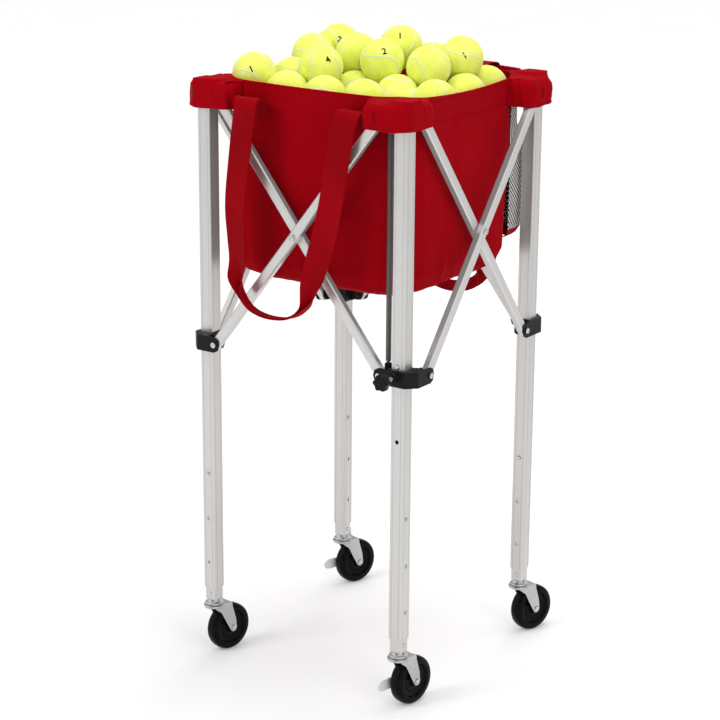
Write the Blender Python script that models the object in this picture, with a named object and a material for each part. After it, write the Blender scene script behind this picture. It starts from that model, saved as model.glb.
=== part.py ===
"""Tennis ball cart: four telescopic square legs joined by scissor struts, a fabric bag of balls and casters.

Metres, +Z up. Legs stand at (+-LEG_AXIS, +-LEG_AXIS). Corners are numbered anticlockwise from the
front right, and each corner's pieces are made once in the front right leg's axes and turned by 90 degrees.
"""
import math
import random

import bmesh
import bpy
from mathutils import Matrix, Vector

CORNERS = ("front_right", "back_right", "back_left", "front_left")
SIDES = ("front", "right", "back", "left")

FIT = 0.0003
SWEEP = 0.01
SMALL_ROUND = 8
RIVET_ROUND = 10
CASTER_ROUND = 14
LEG_AXIS = 0.175
OUTER_TUBE = 0.0225
TUBE_WALL = 0.0012
INNER_TUBE = OUTER_TUBE - 2 * (TUBE_WALL + FIT)
OUTER_ROUND, OUTER_ROUND_IN = 0.0018, 0.0008
INNER_ROUND, INNER_ROUND_IN = 0.0015, 0.0006
LEG_TOP = 0.914
BUTTON_PITCH = 0.073
BUTTON_R = 0.003
BUTTON_TURN = (0, 180, 180, 0)
BUTTON_REACH = 0.0025
LEAF_X = INNER_TUBE / 2 - 0.00295
LEAF_T = 0.0008
LEAF_W = 0.008
LEAF_LOW = 0.022
LEAF_HIGH = 0.012
LEAF_FOOT = 0.0040
HOLE_START = 0.004

STRUT_WIDTH = 0.015
STRUT_DEPTH = 0.012
STRUT_END = 0.0085
PIVOT_IN = OUTER_TUBE / 2 + 0.01775
PIVOT_RISE = 0.370
TOP_PIVOT_Z = LEG_TOP - 0.026
SLIDER_PIVOT_Z = TOP_PIVOT_Z - PIVOT_RISE
LOCK_HOLE_Z = SLIDER_PIVOT_Z - 0.0963
RIVET_R = 0.003
RIVET_HEAD_R = 0.0043
HEAD_T = 0.0015

SLEEVE_IN = OUTER_TUBE / 2 + FIT
EAR_T = 0.002
LAYER_IN = 0.0033
LAYER_STEP = STRUT_DEPTH + 0.0005
LAYER_OUT = LAYER_IN + LAYER_STEP
INNER_EAR_P = LAYER_IN - FIT
PLATE_P = LAYER_IN + STRUT_DEPTH + FIT + EAR_T
PLATE_N = LAYER_OUT + STRUT_DEPTH + FIT + EAR_T
BLOCK_HALF = SLEEVE_IN + 0.00225
BLOCK_REACH = SLEEVE_IN + 0.00445
BEND_X = SLEEVE_IN + 0.00395
EAR_ROOT = SLEEVE_IN - 0.00155
EAR_STEPS = 4
SLIDER_H = 0.024
SLIDER_LOW = SLIDER_PIVOT_Z - SLIDER_H / 2
EAR_REACH = 0.0095
TOP_BRACKET_H = 0.026
TAIL = 0.004

SPRING_OFF = 0.008
SPRING_WIRE_R = 0.00075
SPRING_COIL_R = 0.0039
SPRING_TURNS = 20
SPRING_STEPS = 8
HOOK_LEN = 0.007

KNOB_Z = SLIDER_PIVOT_Z + 0.003
KNOB_FRONT = 0.060
KNOB_T = 0.018
KNOB_R = 0.0115
SCREW_R = 0.003
BOSS_END = 0.027
BOSS_R = 0.0072

WHEEL_R = 0.0377
WHEEL_W = 0.022
WHEEL_SEGMENTS = 20
WHEEL_ROUND = 0.0045
WHEEL_DISH = 0.0035
HUB_R = 0.0085
DISH_R = WHEEL_R - 0.0125
WHEEL_Z = WHEEL_R * math.cos(math.pi / WHEEL_SEGMENTS)
TRAIL = 0.028
HEADINGS = (81.9, 73.2, 74.6, 79.4)
AXLE_R = 0.0025
AXLE_HEAD_R = 0.0042
FORK_IN = WHEEL_W / 2 + 0.0012
FORK_T = 0.0018
FORK_OUT = FORK_IN + FORK_T
CHEEK_R = 0.0062
CHEEK_WAIST = 0.013
CROWN_R = 0.017
# the fork's crown clears the wheel, and the leg stands on the crown's cup
CROWN_CLEAR = 0.00206415
CROWN_LOW = WHEEL_Z + WHEEL_R + CROWN_CLEAR
CROWN_TOP = CROWN_LOW + 0.006
CHEEK_Z = CROWN_LOW - 0.022
INNER_LOW = CROWN_TOP + 0.0095
INNER_TOP = INNER_LOW + 0.2565
OUTER_LOW = INNER_LOW + 0.0205
BUTTON_Z = INNER_LOW + 0.2095
DOME_R = 0.0145
KINGPIN_R = 0.004
PLUG_R = INNER_TUBE / 2 - TUBE_WALL - FIT
BRAKED = (0, 2)
LEVER_T = 0.0015
# the brake lever's tab and arm, from the axle
TAB_X, TAB_Z = -0.044, -0.0015
TAB_REACH, TAB_HALF = 0.012, 0.0085
ARM_X, ARM_R = -0.024, 0.0068

BAG_WALL = 0.002
BAG_CORNER = 0.06
BAG_STEPS = 3
# the bag's outline: how far below the legs' tops, and how far inside their axes
BAG_DROPS = (
    (0.294, 0.035), (0.286, 0.021), (0.265, 0.0135), (0.200, 0.0115), (0.110, 0.010), (0.0, 0.0085),
)
BAG_PROFILE = tuple((LEG_TOP - low, LEG_AXIS - inside) for low, inside in BAG_DROPS)
BAG_BOTTOM_Z, BAG_TOP_HALF = BAG_PROFILE[0][0], BAG_PROFILE[-1][1]
POCKET_LOW = LEG_TOP - 0.040
POCKET_WALL = 0.0015
POCKET_TOP = LEG_TOP + FIT + POCKET_WALL
POCKET_SLACK = 0.00439711
# where the strut leaves the cap's lower edge, and the cap's reach past it
STRUT_SLOPE = math.atan2(PIVOT_RISE, 2 * (LEG_AXIS - PIVOT_IN))
STRUT_LEAVES = (TOP_PIVOT_Z - POCKET_LOW) / math.tan(STRUT_SLOPE) + STRUT_WIDTH / 2 / math.sin(STRUT_SLOPE)
POCKET_REACH = PIVOT_IN + STRUT_LEAVES + POCKET_SLACK
POCKET_P = PLATE_N + HEAD_T + 0.0005 + POCKET_WALL
POCKET_N = PLATE_P + HEAD_T + 0.0005 + POCKET_WALL
POCKET_INNER = 0.030
POCKET_CUT = PLATE_P + BEND_X + (0.0005 + POCKET_WALL) * math.sqrt(2)
STRAP_T = 0.002
STRAP_W = 0.041
STRAP_OUT = LEG_AXIS - POCKET_REACH - 0.0225
FRONT_STRAP = dict(y=-LEG_AXIS - 0.0355, top=LEG_TOP - 0.0255, bottom=LEG_TOP - 0.304, left=-0.0655,
                   right=STRAP_OUT, lean=-0.014)
BACK_STRAP = dict(y=LEG_AXIS + 0.0515, top=LEG_TOP - 0.0025, bottom=LEG_TOP - 0.348, left=-STRAP_OUT,
                  right=0.0655, lean=0.010)
NET_WALL = 0.0012
NET_ROUND = 0.003
# the net pocket's height, its two ends along X and its front
# the net pocket: how far below the legs' tops, its left end, its right end inside the axis,
# and its reach past the axis
NET_SHAPE = (
    (0.265, -0.074, 0.070, -0.006), (0.250, -0.094, 0.037, -0.0005), (0.075, -0.094, 0.033, 0.0015),
    (0.060, -0.094, 0.065, 0.0015), (0.042, -0.090, 0.069, 0.013), (0.025, -0.089, 0.070, 0.037),
    (0.006, -0.087, 0.072, 0.046),
)
NET_ROWS = tuple((LEG_TOP - low, left, LEG_AXIS - inside, LEG_AXIS + past)
                 for low, left, inside, past in NET_SHAPE)
BALL_R = 0.033
HEAP_EDGE_Z = LEG_TOP - 0.010
HEAP_RISE = 0.046
HEAP_RADIUS = 0.173
HEAP_FOOT = 0.004
HEAP_RINGS = (0.120, 0.080, 0.035)
HEAP_ROWS = 2
HEAP_SCATTER = 0.004

ALUMINIUM = ((0.80, 0.79, 0.77, 1), 0.32, 1.0)
ALUMINIUM_INNER = ((0.74, 0.73, 0.71, 1), 0.36, 1.0)
CHROME = ((0.82, 0.82, 0.83, 1), 0.14, 1.0)
RIVET_METAL = ((0.84, 0.84, 0.84, 1), 0.25, 1.0)
BLACK_PLASTIC = ((0.018, 0.018, 0.019, 1), 0.42, 0.0)
WHEEL_BLACK = ((0.010, 0.010, 0.011, 1), 0.22, 0.0)
RED_FABRIC = ((0.38, 0.002, 0.010, 1), 0.80, 0.0)
DARK_MESH = ((0.35, 0.34, 0.34, 1), 0.70, 0.0)
FELT = ((0.72, 0.86, 0.12, 1), 0.90, 0.0)


def clear_scene():
    for item in list(bpy.data.objects):
        bpy.data.objects.remove(item, do_unlink=True)


def material(name, look):
    colour, roughness, metallic = look
    made = bpy.data.materials.new(name)
    made.use_nodes = True
    shader = made.node_tree.nodes["Principled BSDF"]
    shader.inputs["Base Color"].default_value = colour
    shader.inputs["Roughness"].default_value = roughness
    shader.inputs["Metallic"].default_value = metallic
    return made


def add(name, mesh, look, matrix=None, smooth=False):
    """A named object with its own material, its origin where its joint's axis is."""
    item = bpy.data.objects.new(name, mesh)
    bpy.context.scene.collection.objects.link(item)
    item.data.materials.clear()
    item.data.materials.append(material(name + "_mat", look))
    if matrix is not None:
        item.matrix_world = matrix
    if smooth:
        item.data.shade_smooth()
    return item


def corner_matrix(k, x=0.0, y=0.0, z=0.0, turn=0.0):
    """Front right leg's axes at corner k, moved to x, y, z from the leg's axis and turned about Z."""
    base = Matrix.Rotation(k * math.pi / 2, 4, "Z") @ Matrix.Translation((LEG_AXIS + x, -LEG_AXIS + y, z))
    return base @ Matrix.Rotation(turn, 4, "Z")


def to_mesh(bm, name):
    bmesh.ops.remove_doubles(bm, verts=bm.verts, dist=1e-7)
    bmesh.ops.recalc_face_normals(bm, faces=bm.faces)
    mesh = bpy.data.meshes.new(name)
    bm.to_mesh(mesh)
    bm.free()
    return mesh


def prism(points, low, high, axis="Z"):
    """A polygon drawn on the plane square to axis, extruded from low to high along it."""
    bm = bmesh.new()

    def at(p, h):
        if axis == "Z":
            return (p[0], p[1], h)
        if axis == "X":
            return (h, p[0], p[1])
        return (p[0], h, p[1])

    bottom = [bm.verts.new(at(p, low)) for p in points]
    top = [bm.verts.new(at(p, high)) for p in points]
    bm.faces.new(bottom)
    bm.faces.new(top)
    for i in range(len(points)):
        j = (i + 1) % len(points)
        bm.faces.new((bottom[i], bottom[j], top[j], top[i]))
    return to_mesh(bm, "prism")


def tube(outer, inner, low, high, axis="Z"):
    """Two loops of equal counts, bridged into an open tube with walls."""
    bm = bmesh.new()

    def at(p, h):
        return (p[0], p[1], h) if axis == "Z" else (h, p[0], p[1])

    rings = [[bm.verts.new(at(p, h)) for p in loop] for loop in (outer, inner) for h in (low, high)]
    pairs = ((0, 1), (2, 3), (0, 2), (1, 3))
    count = len(outer)
    for a, b in pairs:
        for i in range(count):
            j = (i + 1) % count
            bm.faces.new((rings[a][i], rings[a][j], rings[b][j], rings[b][i]))
    return to_mesh(bm, "tube")


def lathe(profile, segments, axis="Z", phase=0.0):
    """A closed profile of (radius, height) points turned round the axis; radius 0 closes a pole."""
    bm = bmesh.new()
    rings = []
    for radius, height in profile:
        ring = []
        steps = 1 if radius == 0 else segments
        for i in range(steps):
            a = phase + 2 * math.pi * i / segments
            p = (radius * math.cos(a), radius * math.sin(a), height)
            if axis == "Y":
                p = (p[0], height, p[1])
            elif axis == "X":
                p = (height, p[0], p[1])
            ring.append(bm.verts.new(p))
        rings.append(ring)
    for n in range(len(rings)):
        a, b = rings[n], rings[(n + 1) % len(rings)]
        if len(a) == 1 and len(b) == 1:
            continue
        for i in range(segments):
            j = (i + 1) % segments
            corners = [a[i % len(a)], a[j % len(a)], b[j % len(b)], b[i % len(b)]]
            unique = list(dict.fromkeys(corners))
            bm.faces.new(unique)
    return to_mesh(bm, "lathe")


def cylinder(radius, low, high, axis="Z", segments=SMALL_ROUND, centre=(0.0, 0.0)):
    """A round prism; centre is on the plane square to axis."""
    ring = []
    for i in range(segments):
        a = 2 * math.pi * (i + 0.5) / segments
        ring.append((centre[0] + radius * math.cos(a), centre[1] + radius * math.sin(a)))
    return prism(ring, low, high, axis)


def rounded_rect(half_x, half_y, radius, steps=3, centre=(0.0, 0.0)):
    points = []
    for sx, sy, start in ((1, 1, 0), (-1, 1, 90), (-1, -1, 180), (1, -1, 270)):
        for i in range(steps + 1):
            a = math.radians(start + 90 * i / steps)
            x = centre[0] + sx * (half_x - radius) + radius * math.cos(a)
            y = centre[1] + sy * (half_y - radius) + radius * math.sin(a)
            points.append((x, y))
    return points


def combine(base, others, operation):
    """The base mesh with the others joined to it or cut from it."""
    made = bpy.data.objects.new("work", base)
    bpy.context.scene.collection.objects.link(made)
    tools = []
    for mesh in others:
        tool = bpy.data.objects.new("tool", mesh)
        tool.hide_render = True
        tool.display_type = "WIRE"
        bpy.context.scene.collection.objects.link(tool)
        tools.append(tool)
        cut = made.modifiers.new("boolean", "BOOLEAN")
        cut.operation = operation
        cut.solver = "EXACT"
        cut.object = tool
    bpy.context.view_layer.update()
    result = bpy.data.meshes.new_from_object(made.evaluated_get(bpy.context.evaluated_depsgraph_get()))
    for item in [made, *tools]:
        bpy.data.objects.remove(item, do_unlink=True)
    bm = bmesh.new()
    bm.from_mesh(result)
    bmesh.ops.dissolve_degenerate(bm, dist=1e-6, edges=bm.edges)
    return to_mesh(bm, "solid")


def fuse(base, *others):
    return combine(base, others, "UNION")


def cut(base, *others):
    return combine(base, others, "DIFFERENCE")


def moved(mesh, matrix):
    copy = mesh.copy()
    copy.transform(matrix)
    if matrix.determinant() < 0:
        copy.flip_normals()
    return copy


def ear(low, high, start, reach, z, height, axis):
    """A flat ear from start along the wing to a round end past the pivot; axis is its normal."""
    radius = min(height / 2, EAR_REACH)
    way = 1 if reach > start else -1
    points = [(start, z - height / 2), (start, z + height / 2)]
    centre = reach - way * radius
    for i in range(EAR_STEPS + 1):
        a = math.pi / 2 - math.pi * i / EAR_STEPS
        points.append((centre + way * radius * math.cos(a), z + height / 2 * math.sin(a)))
    return prism(points, low, high, axis)


def bracket(z, height, knob=False, tail_p=TAIL, tail_n=TAIL):
    """A bracket round the leg with its two wings and pivot rivets.

    Its wing along +Y is on the outer layer, and its wing along -X on the inner one.
    """
    low, high = z - height / 2, z + height / 2
    outline = [
        (-BLOCK_REACH, -PLATE_P), (BEND_X, -PLATE_P), (PLATE_N, PLATE_N - PLATE_P - BEND_X),
        (PLATE_N, BLOCK_REACH), (BLOCK_HALF, BLOCK_REACH), (BLOCK_HALF, BLOCK_HALF),
        (-BLOCK_HALF, BLOCK_HALF),
        (-BLOCK_HALF, -INNER_EAR_P + EAR_T), (-BLOCK_REACH, -INNER_EAR_P + EAR_T),
    ]
    body = prism(outline, low, high)
    reach = PIVOT_IN + EAR_REACH
    parts = [
        ear(PLATE_N - EAR_T, PLATE_N, EAR_ROOT, reach, z, height, "X"),
        ear(LAYER_OUT - FIT - EAR_T, LAYER_OUT - FIT, EAR_ROOT, reach - 0.001, z, height * 0.8, "X"),
        ear(-PLATE_P, -PLATE_P + EAR_T, -EAR_ROOT, -reach, z, height, "Y"),
        ear(-INNER_EAR_P, -INNER_EAR_P + EAR_T, -EAR_ROOT, -reach + 0.001, z, height * 0.8, "Y"),
        cylinder(RIVET_R, LAYER_OUT - FIT - EAR_T - tail_n, PLATE_N + HEAD_T / 2, "X", RIVET_ROUND,
                 (PIVOT_IN, z)),
        cylinder(RIVET_HEAD_R, PLATE_N - EAR_T / 2, PLATE_N + HEAD_T, "X", RIVET_ROUND, (PIVOT_IN, z)),
        cylinder(RIVET_R, -PLATE_P - HEAD_T / 2, -INNER_EAR_P + EAR_T + tail_p, "Y", RIVET_ROUND,
                 (-PIVOT_IN, z)),
        cylinder(RIVET_HEAD_R, -PLATE_P - HEAD_T, -PLATE_P + EAR_T / 2, "Y", RIVET_ROUND, (-PIVOT_IN, z)),
    ]
    if knob:
        parts.append(cylinder(BOSS_R, -BOSS_END, -PLATE_P + 0.001, "Y", RIVET_ROUND, (0.0, KNOB_Z)))
    body = fuse(body, *parts)
    hole = rounded_rect(SLEEVE_IN, SLEEVE_IN, 0.0012, 2)
    cuts = [prism(hole, low - 0.01, high + 0.01)]
    if knob:
        cuts.append(cylinder(SCREW_R + FIT, -BOSS_END - 0.01, -SLEEVE_IN + 0.001, "Y", RIVET_ROUND,
                             (0.0, KNOB_Z)))
    return cut(body, *cuts)


def snap_button():
    """A pin on a spring leaf, whose foot crosses to the inner tube's far wall."""
    leaf = prism(rounded_rect(LEAF_T / 2, LEAF_W / 2, FIT, 1, (LEAF_X, 0.0)), BUTTON_Z - LEAF_LOW,
                 BUTTON_Z + LEAF_HIGH)
    near, far, side = LEAF_X + LEAF_T / 2, -LEAF_FOOT, LEAF_W / 2
    foot = prism([(near, -side), (near, side), (far, side), (far, -side)], BUTTON_Z - LEAF_LOW - LEAF_T,
                 BUTTON_Z - LEAF_LOW + LEAF_T / 2)
    face = OUTER_TUBE / 2
    pin = lathe([(0, LEAF_X), (BUTTON_R, LEAF_X), (BUTTON_R, face + BUTTON_REACH * 0.5),
                 (BUTTON_R * 0.75, face + BUTTON_REACH * 0.9), (0, face + BUTTON_REACH)], SMALL_ROUND, "X")
    return fuse(leaf, foot, moved(pin, Matrix.Translation((0, 0, BUTTON_Z))))


def square_tube(width, round_out, round_in, low, high):
    half, hollow = width / 2, width / 2 - TUBE_WALL
    return tube(rounded_rect(half, half, round_out, 2), rounded_rect(hollow, hollow, round_in, 2), low, high)


def make_legs():
    bore = BUTTON_R + FIT
    inner = square_tube(INNER_TUBE, INNER_ROUND, INNER_ROUND_IN, INNER_LOW, INNER_TOP)
    inner = cut(inner, cylinder(bore, HOLE_START, OUTER_TUBE, "X", SMALL_ROUND, (0.0, BUTTON_Z)))
    outer = square_tube(OUTER_TUBE, OUTER_ROUND, OUTER_ROUND_IN, OUTER_LOW, LEG_TOP)
    steps = [BUTTON_Z - step * BUTTON_PITCH for step in range(3)]
    drilled = cut(outer, *[cylinder(bore, HOLE_START, OUTER_TUBE, "X", SMALL_ROUND, (0.0, z)) for z in steps])
    button = snap_button()
    lock = cylinder(SCREW_R + FIT, -OUTER_TUBE, -HOLE_START, "Y", SMALL_ROUND, (0.0, LOCK_HOLE_Z))
    for k, corner in enumerate(CORNERS):
        turn = Matrix.Rotation(math.radians(BUTTON_TURN[k]), 4, "Z")
        mesh = moved(drilled, turn)
        if k == 0:
            mesh = cut(mesh, lock)
        add("leg_outer_" + corner, mesh, ALUMINIUM, corner_matrix(k))
        add("leg_inner_" + corner, moved(inner, turn), ALUMINIUM_INNER, corner_matrix(k))
        add("snap_button_" + corner, moved(button, turn), RIVET_METAL, corner_matrix(k))


def make_brackets():
    plain = bracket(SLIDER_PIVOT_Z, SLIDER_H)
    long_tail = SPRING_OFF + SPRING_COIL_R + INNER_EAR_P - EAR_T
    with_knob = bracket(SLIDER_PIVOT_Z, SLIDER_H, True, long_tail)
    for k, corner in enumerate(CORNERS):
        add("slider_" + corner, with_knob if k == 0 else plain.copy(), BLACK_PLASTIC, corner_matrix(k))
    # the top bracket is the slider's mirror image across the corner's diagonal
    flip = Matrix(((0, -1, 0, 0), (-1, 0, 0, 0), (0, 0, 1, 0), (0, 0, 0, 1)))
    top = moved(bracket(TOP_PIVOT_Z, TOP_BRACKET_H), flip)
    top_tail = SPRING_OFF + SPRING_COIL_R + LAYER_OUT - FIT - EAR_T
    top_spring = moved(bracket(TOP_PIVOT_Z, TOP_BRACKET_H, False, TAIL, top_tail), flip)
    for k, corner in enumerate(CORNERS):
        add("top_bracket_" + corner, top_spring if k == 0 else top.copy(), BLACK_PLASTIC, corner_matrix(k))


def strut_mesh(length, pinned):
    """A rectangular tube along +X from the pivot at the origin, bored at its pivots.

    The inner layer has a third bore at its centre, for the rivet that is set in the outer layer.
    """
    half_w, half_d = STRUT_WIDTH / 2, STRUT_DEPTH / 2
    outer = rounded_rect(half_d, half_w, 0.0018, 1)
    inner = rounded_rect(half_d - TUBE_WALL, half_w - TUBE_WALL, 0.0010, 1)
    bar = tube(outer, inner, -STRUT_END, length + STRUT_END, "X")
    bores = []
    for x in (0.0, length) if pinned else (0.0, length / 2, length):
        bores.append(cylinder(RIVET_R + FIT, -0.02, 0.02, "Y", SMALL_ROUND, (x, 0.0)))
    bar = cut(bar, *bores)
    if not pinned:
        return bar
    head = RIVET_HEAD_R
    near = half_d - 0.0002
    far = -(half_d + LAYER_STEP + FIT)
    pin = lathe([(0, near + HEAD_T), (head * 0.7, near + HEAD_T), (head, near + HEAD_T * 0.4), (head, near),
                 (RIVET_R, near), (RIVET_R, far), (head, far), (head, far - HEAD_T * 0.6),
                 (head * 0.7, far - HEAD_T), (0, far - HEAD_T)], SMALL_ROUND, "Y")
    return fuse(bar, moved(pin, Matrix.Translation((length / 2, 0, 0))))


def make_struts():
    run = 2 * (LEG_AXIS - PIVOT_IN)
    drop = TOP_PIVOT_Z - SLIDER_PIVOT_Z
    length = math.hypot(run, drop)
    slope = math.atan2(drop, run)
    pinned = strut_mesh(length, True)
    plain = strut_mesh(length, False)
    y_out = -(LAYER_OUT + STRUT_DEPTH / 2)
    y_in = -(LAYER_IN + STRUT_DEPTH / 2)
    for k, side in enumerate(SIDES):
        # the outer layer runs from this corner's top to the last corner's slider
        out_turn = Matrix.Rotation(math.pi, 4, "Z") @ Matrix.Rotation(slope, 4, "Y")
        place = corner_matrix(k, -PIVOT_IN, y_out, TOP_PIVOT_Z) @ out_turn
        add("strut_" + side + "_outer", pinned.copy(), ALUMINIUM, place)
        place = corner_matrix(k, -2 * LEG_AXIS + PIVOT_IN, y_in, TOP_PIVOT_Z) @ Matrix.Rotation(slope, 4, "Y")
        add("strut_" + side + "_inner", plain.copy(), ALUMINIUM, place)


def make_spring():
    """The return spring beside the front right leg, one unbroken tube, and its lower hook."""
    x, y = LEG_AXIS - PIVOT_IN, -LEG_AXIS + SPRING_OFF
    top = TOP_PIVOT_Z - RIVET_R - FIT
    hook_low = SLIDER_PIVOT_Z + RIVET_R + FIT
    low = hook_low + HOOK_LEN + FIT
    straight = 2 * SPRING_WIRE_R * 1.5
    coil_top, coil_low = top - 2 * straight, low + 2 * straight
    points = [(0, 0, top), (0, 0, top - straight)]
    total = SPRING_TURNS * SPRING_STEPS
    for i in range(total + 1):
        a = 2 * math.pi * i / SPRING_STEPS
        z = coil_top + (coil_low - coil_top) * i / total
        points.append((SPRING_COIL_R * math.cos(a), SPRING_COIL_R * math.sin(a), z))
    points += [(0, 0, low + straight), (0, 0, low)]
    gap = (coil_top - coil_low) / SPRING_TURNS - 2 * SPRING_WIRE_R
    coil = [Vector(p) for p in points[2:-2]]
    pairs = [(i, j) for i in range(len(coil)) for j in range(i + SPRING_STEPS - 1, i + 2 * SPRING_STEPS)]
    least = min((coil[i] - coil[j]).length for i, j in pairs if j < len(coil)) - 2 * SPRING_WIRE_R
    print("spring: gap between turns %.2f mm, least gap to itself %.2f mm" % (gap * 1000, least * 1000))
    curve = bpy.data.curves.new("spring", "CURVE")
    curve.dimensions = "3D"
    curve.bevel_depth = SPRING_WIRE_R
    curve.bevel_resolution = 1
    curve.use_fill_caps = True
    line = curve.splines.new("POLY")
    line.points.add(len(points) - 1)
    for point, at in zip(line.points, points):
        point.co = (*at, 1)
    item = bpy.data.objects.new("spring", curve)
    bpy.context.scene.collection.objects.link(item)
    item.location = (x, y, 0)
    curve.materials.append(material("spring_mat", CHROME))
    hook = cylinder(SPRING_WIRE_R * 1.6, hook_low, hook_low + HOOK_LEN, "Z", 8)
    add("spring_hook", hook, CHROME, Matrix.Translation((x, y, 0)))


def make_knob():
    tip = -(OUTER_TUBE / 2 + FIT)
    screw_end = -(KNOB_FRONT - KNOB_T + 0.008)
    screw = lathe([(0, tip), (SCREW_R * 0.8, tip), (SCREW_R, tip - 0.0008), (SCREW_R, screw_end),
                   (0, screw_end)],
                  SMALL_ROUND, "Y")
    add("clamp_screw", screw, CHROME, corner_matrix(0, 0, 0, KNOB_Z), True)
    star = []
    for i in range(36):
        a = 2 * math.pi * i / 36
        radius = KNOB_R + 0.0011 * math.cos(6 * a)
        star.append((radius * math.cos(a), radius * math.sin(a)))
    back = -(KNOB_FRONT - KNOB_T)
    body = prism(star, -KNOB_FRONT + 0.002, back, "Y")
    cap = [(x * 0.86, z * 0.86) for x, z in star[::2]]
    cap = prism(cap, -KNOB_FRONT, -KNOB_FRONT + 0.003, "Y")
    body = fuse(body, cap)
    bore = cylinder(SCREW_R + FIT, screw_end - FIT, back + 0.01, "Y")
    add("star_knob", cut(body, bore), BLACK_PLASTIC, corner_matrix(0, 0, 0, KNOB_Z))
    face = -(OUTER_TUBE / 2 + FIT)
    stop = lathe([(0, face), (0.004, face), (0.004, face - 0.0006), (0.0028, face - 0.0015),
                  (0, face - 0.0017)],
                 SMALL_ROUND, "Y")
    stop_z = SLIDER_LOW + SLIDER_H + 0.0045
    add("stop_rivet", stop, RIVET_METAL, corner_matrix(0, -0.001, 0, stop_z), True)


def fork_mesh():
    crown = lathe([(0, CROWN_LOW), (CROWN_R - 0.003, CROWN_LOW), (CROWN_R, CROWN_LOW + 0.0025),
                   (CROWN_R, CROWN_TOP - 0.001), (CROWN_R - 0.001, CROWN_TOP), (0, CROWN_TOP)], CASTER_ROUND)
    web = prism([(0.0, -FORK_OUT), (0.022, -FORK_OUT), (0.022, FORK_OUT), (0.0, FORK_OUT)],
                CROWN_TOP - 0.0032,
                CROWN_TOP - 0.0004)
    side = [(-0.009, CROWN_LOW + 0.0035), (-0.006, CROWN_LOW - 0.001), (0.004, CROWN_LOW - 0.007)]
    side.append((CHEEK_WAIST, CHEEK_Z))
    for i in range(6):
        a = math.radians(195 + 165 * i / 5)
        side.append((TRAIL + CHEEK_R * math.cos(a), WHEEL_Z + CHEEK_R * math.sin(a)))
    side += [(TRAIL - 0.001 + CHEEK_R, CHEEK_Z), (0.0235, CROWN_TOP - 0.001), (0.0225, CROWN_TOP - 0.0004)]
    side += [(-0.006, CROWN_TOP - 0.0004)]
    plates = [prism(side, FORK_IN, FORK_OUT, "Y"), prism(side, -FORK_OUT, -FORK_IN, "Y")]
    body = fuse(crown, web, *plates)
    bores = [cylinder(KINGPIN_R + FIT, CROWN_LOW - 0.01, CROWN_TOP + 0.01, "Z", CASTER_ROUND),
             cylinder(AXLE_R + FIT, -0.03, 0.03, "Y", SMALL_ROUND, (TRAIL, WHEEL_Z))]
    return cut(body, *bores)


def wheel_mesh():
    half, bore = WHEEL_W / 2, AXLE_R + FIT
    dish, rim, edge = half - WHEEL_DISH, half - 0.0005, half - WHEEL_ROUND
    side = [(bore, half), (HUB_R, half), (HUB_R + 0.001, dish), (DISH_R, dish), (DISH_R + 0.0013, rim),
            (WHEEL_R - WHEEL_ROUND, rim), (WHEEL_R, edge)]
    profile = side + [(r, -h) for r, h in reversed(side)]
    return lathe(profile, WHEEL_SEGMENTS, "Y", math.pi / WHEEL_SEGMENTS)


def axle_mesh(extra):
    end = FORK_OUT + FIT
    far = end + extra
    head = AXLE_HEAD_R
    return lathe([(0, -end - 0.0015), (head * 0.7, -end - 0.0015), (head, -end - 0.0006), (head, -end),
                  (AXLE_R, -end), (AXLE_R, far), (head, far), (head, far + 0.0006),
                  (head * 0.7, far + 0.0015), (0, far + 0.0015)],
                 SMALL_ROUND, "Y")


def lever_mesh():
    """The brake lever: an oval tab before the wheel, an arm to the axle and a lug over the fork."""
    near = FORK_OUT + FIT
    tab = []
    for i in range(13):
        a = math.radians(90 + 180 * i / 12)
        tab.append((TAB_X + TAB_REACH * math.cos(a), TAB_Z + TAB_HALF * math.sin(a)))
    arm = [(ARM_X, TAB_Z - TAB_HALF), (0.0, -ARM_R), (ARM_R * 0.8, -ARM_R * 0.6), (ARM_R, 0.0),
           (ARM_R * 0.9, 0.020)]
    lug = [(0.0025, 0.048), (0.0035, 0.0535), (-0.001, 0.0575), (-0.0075, 0.0565), (-0.0095, 0.050)]
    back = [(-0.0078, 0.020), (-0.010, TAB_Z + TAB_HALF), (ARM_X, TAB_Z + TAB_HALF)]
    body = prism(tab + arm + lug + back, near, near + LEVER_T, "Y")
    return cut(body, cylinder(AXLE_R + FIT, -0.03, 0.03, "Y", SMALL_ROUND))


def make_casters():
    cup = lathe([(0, CROWN_LOW - 0.0022), (0.0062, CROWN_LOW - 0.0022), (0.0062, CROWN_LOW - FIT),
                 (KINGPIN_R, CROWN_LOW - FIT), (KINGPIN_R, CROWN_TOP + FIT), (DOME_R, CROWN_TOP + FIT),
                 (DOME_R, CROWN_TOP + 0.0022), (DOME_R - 0.0028, CROWN_TOP + 0.0052),
                 (0.0098, CROWN_TOP + 0.0068),
                 (0.0090, INNER_LOW - FIT), (PLUG_R, INNER_LOW - FIT), (PLUG_R, INNER_LOW + 0.030),
                 (0, INNER_LOW + 0.030)], CASTER_ROUND)
    fork = fork_mesh()
    wheel = wheel_mesh()
    lever = lever_mesh()
    for k, corner in enumerate(CORNERS):
        heading = math.radians(HEADINGS[k] - 90 * k)
        add("caster_cup_" + corner, cup.copy(), CHROME, corner_matrix(k), False)
        add("caster_fork_" + corner, fork.copy(), CHROME, corner_matrix(k, turn=heading))
        base = corner_matrix(k, turn=heading) @ Matrix.Translation((TRAIL, 0, WHEEL_Z))
        add("caster_wheel_" + corner, wheel.copy(), WHEEL_BLACK, base, True)
        extra = LEVER_T + FIT if k in BRAKED else 0.0
        add("caster_axle_" + corner, axle_mesh(extra), RIVET_METAL, base, True)
        if k in BRAKED:
            add("brake_lever_" + corner, lever.copy(), CHROME, base)


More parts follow.
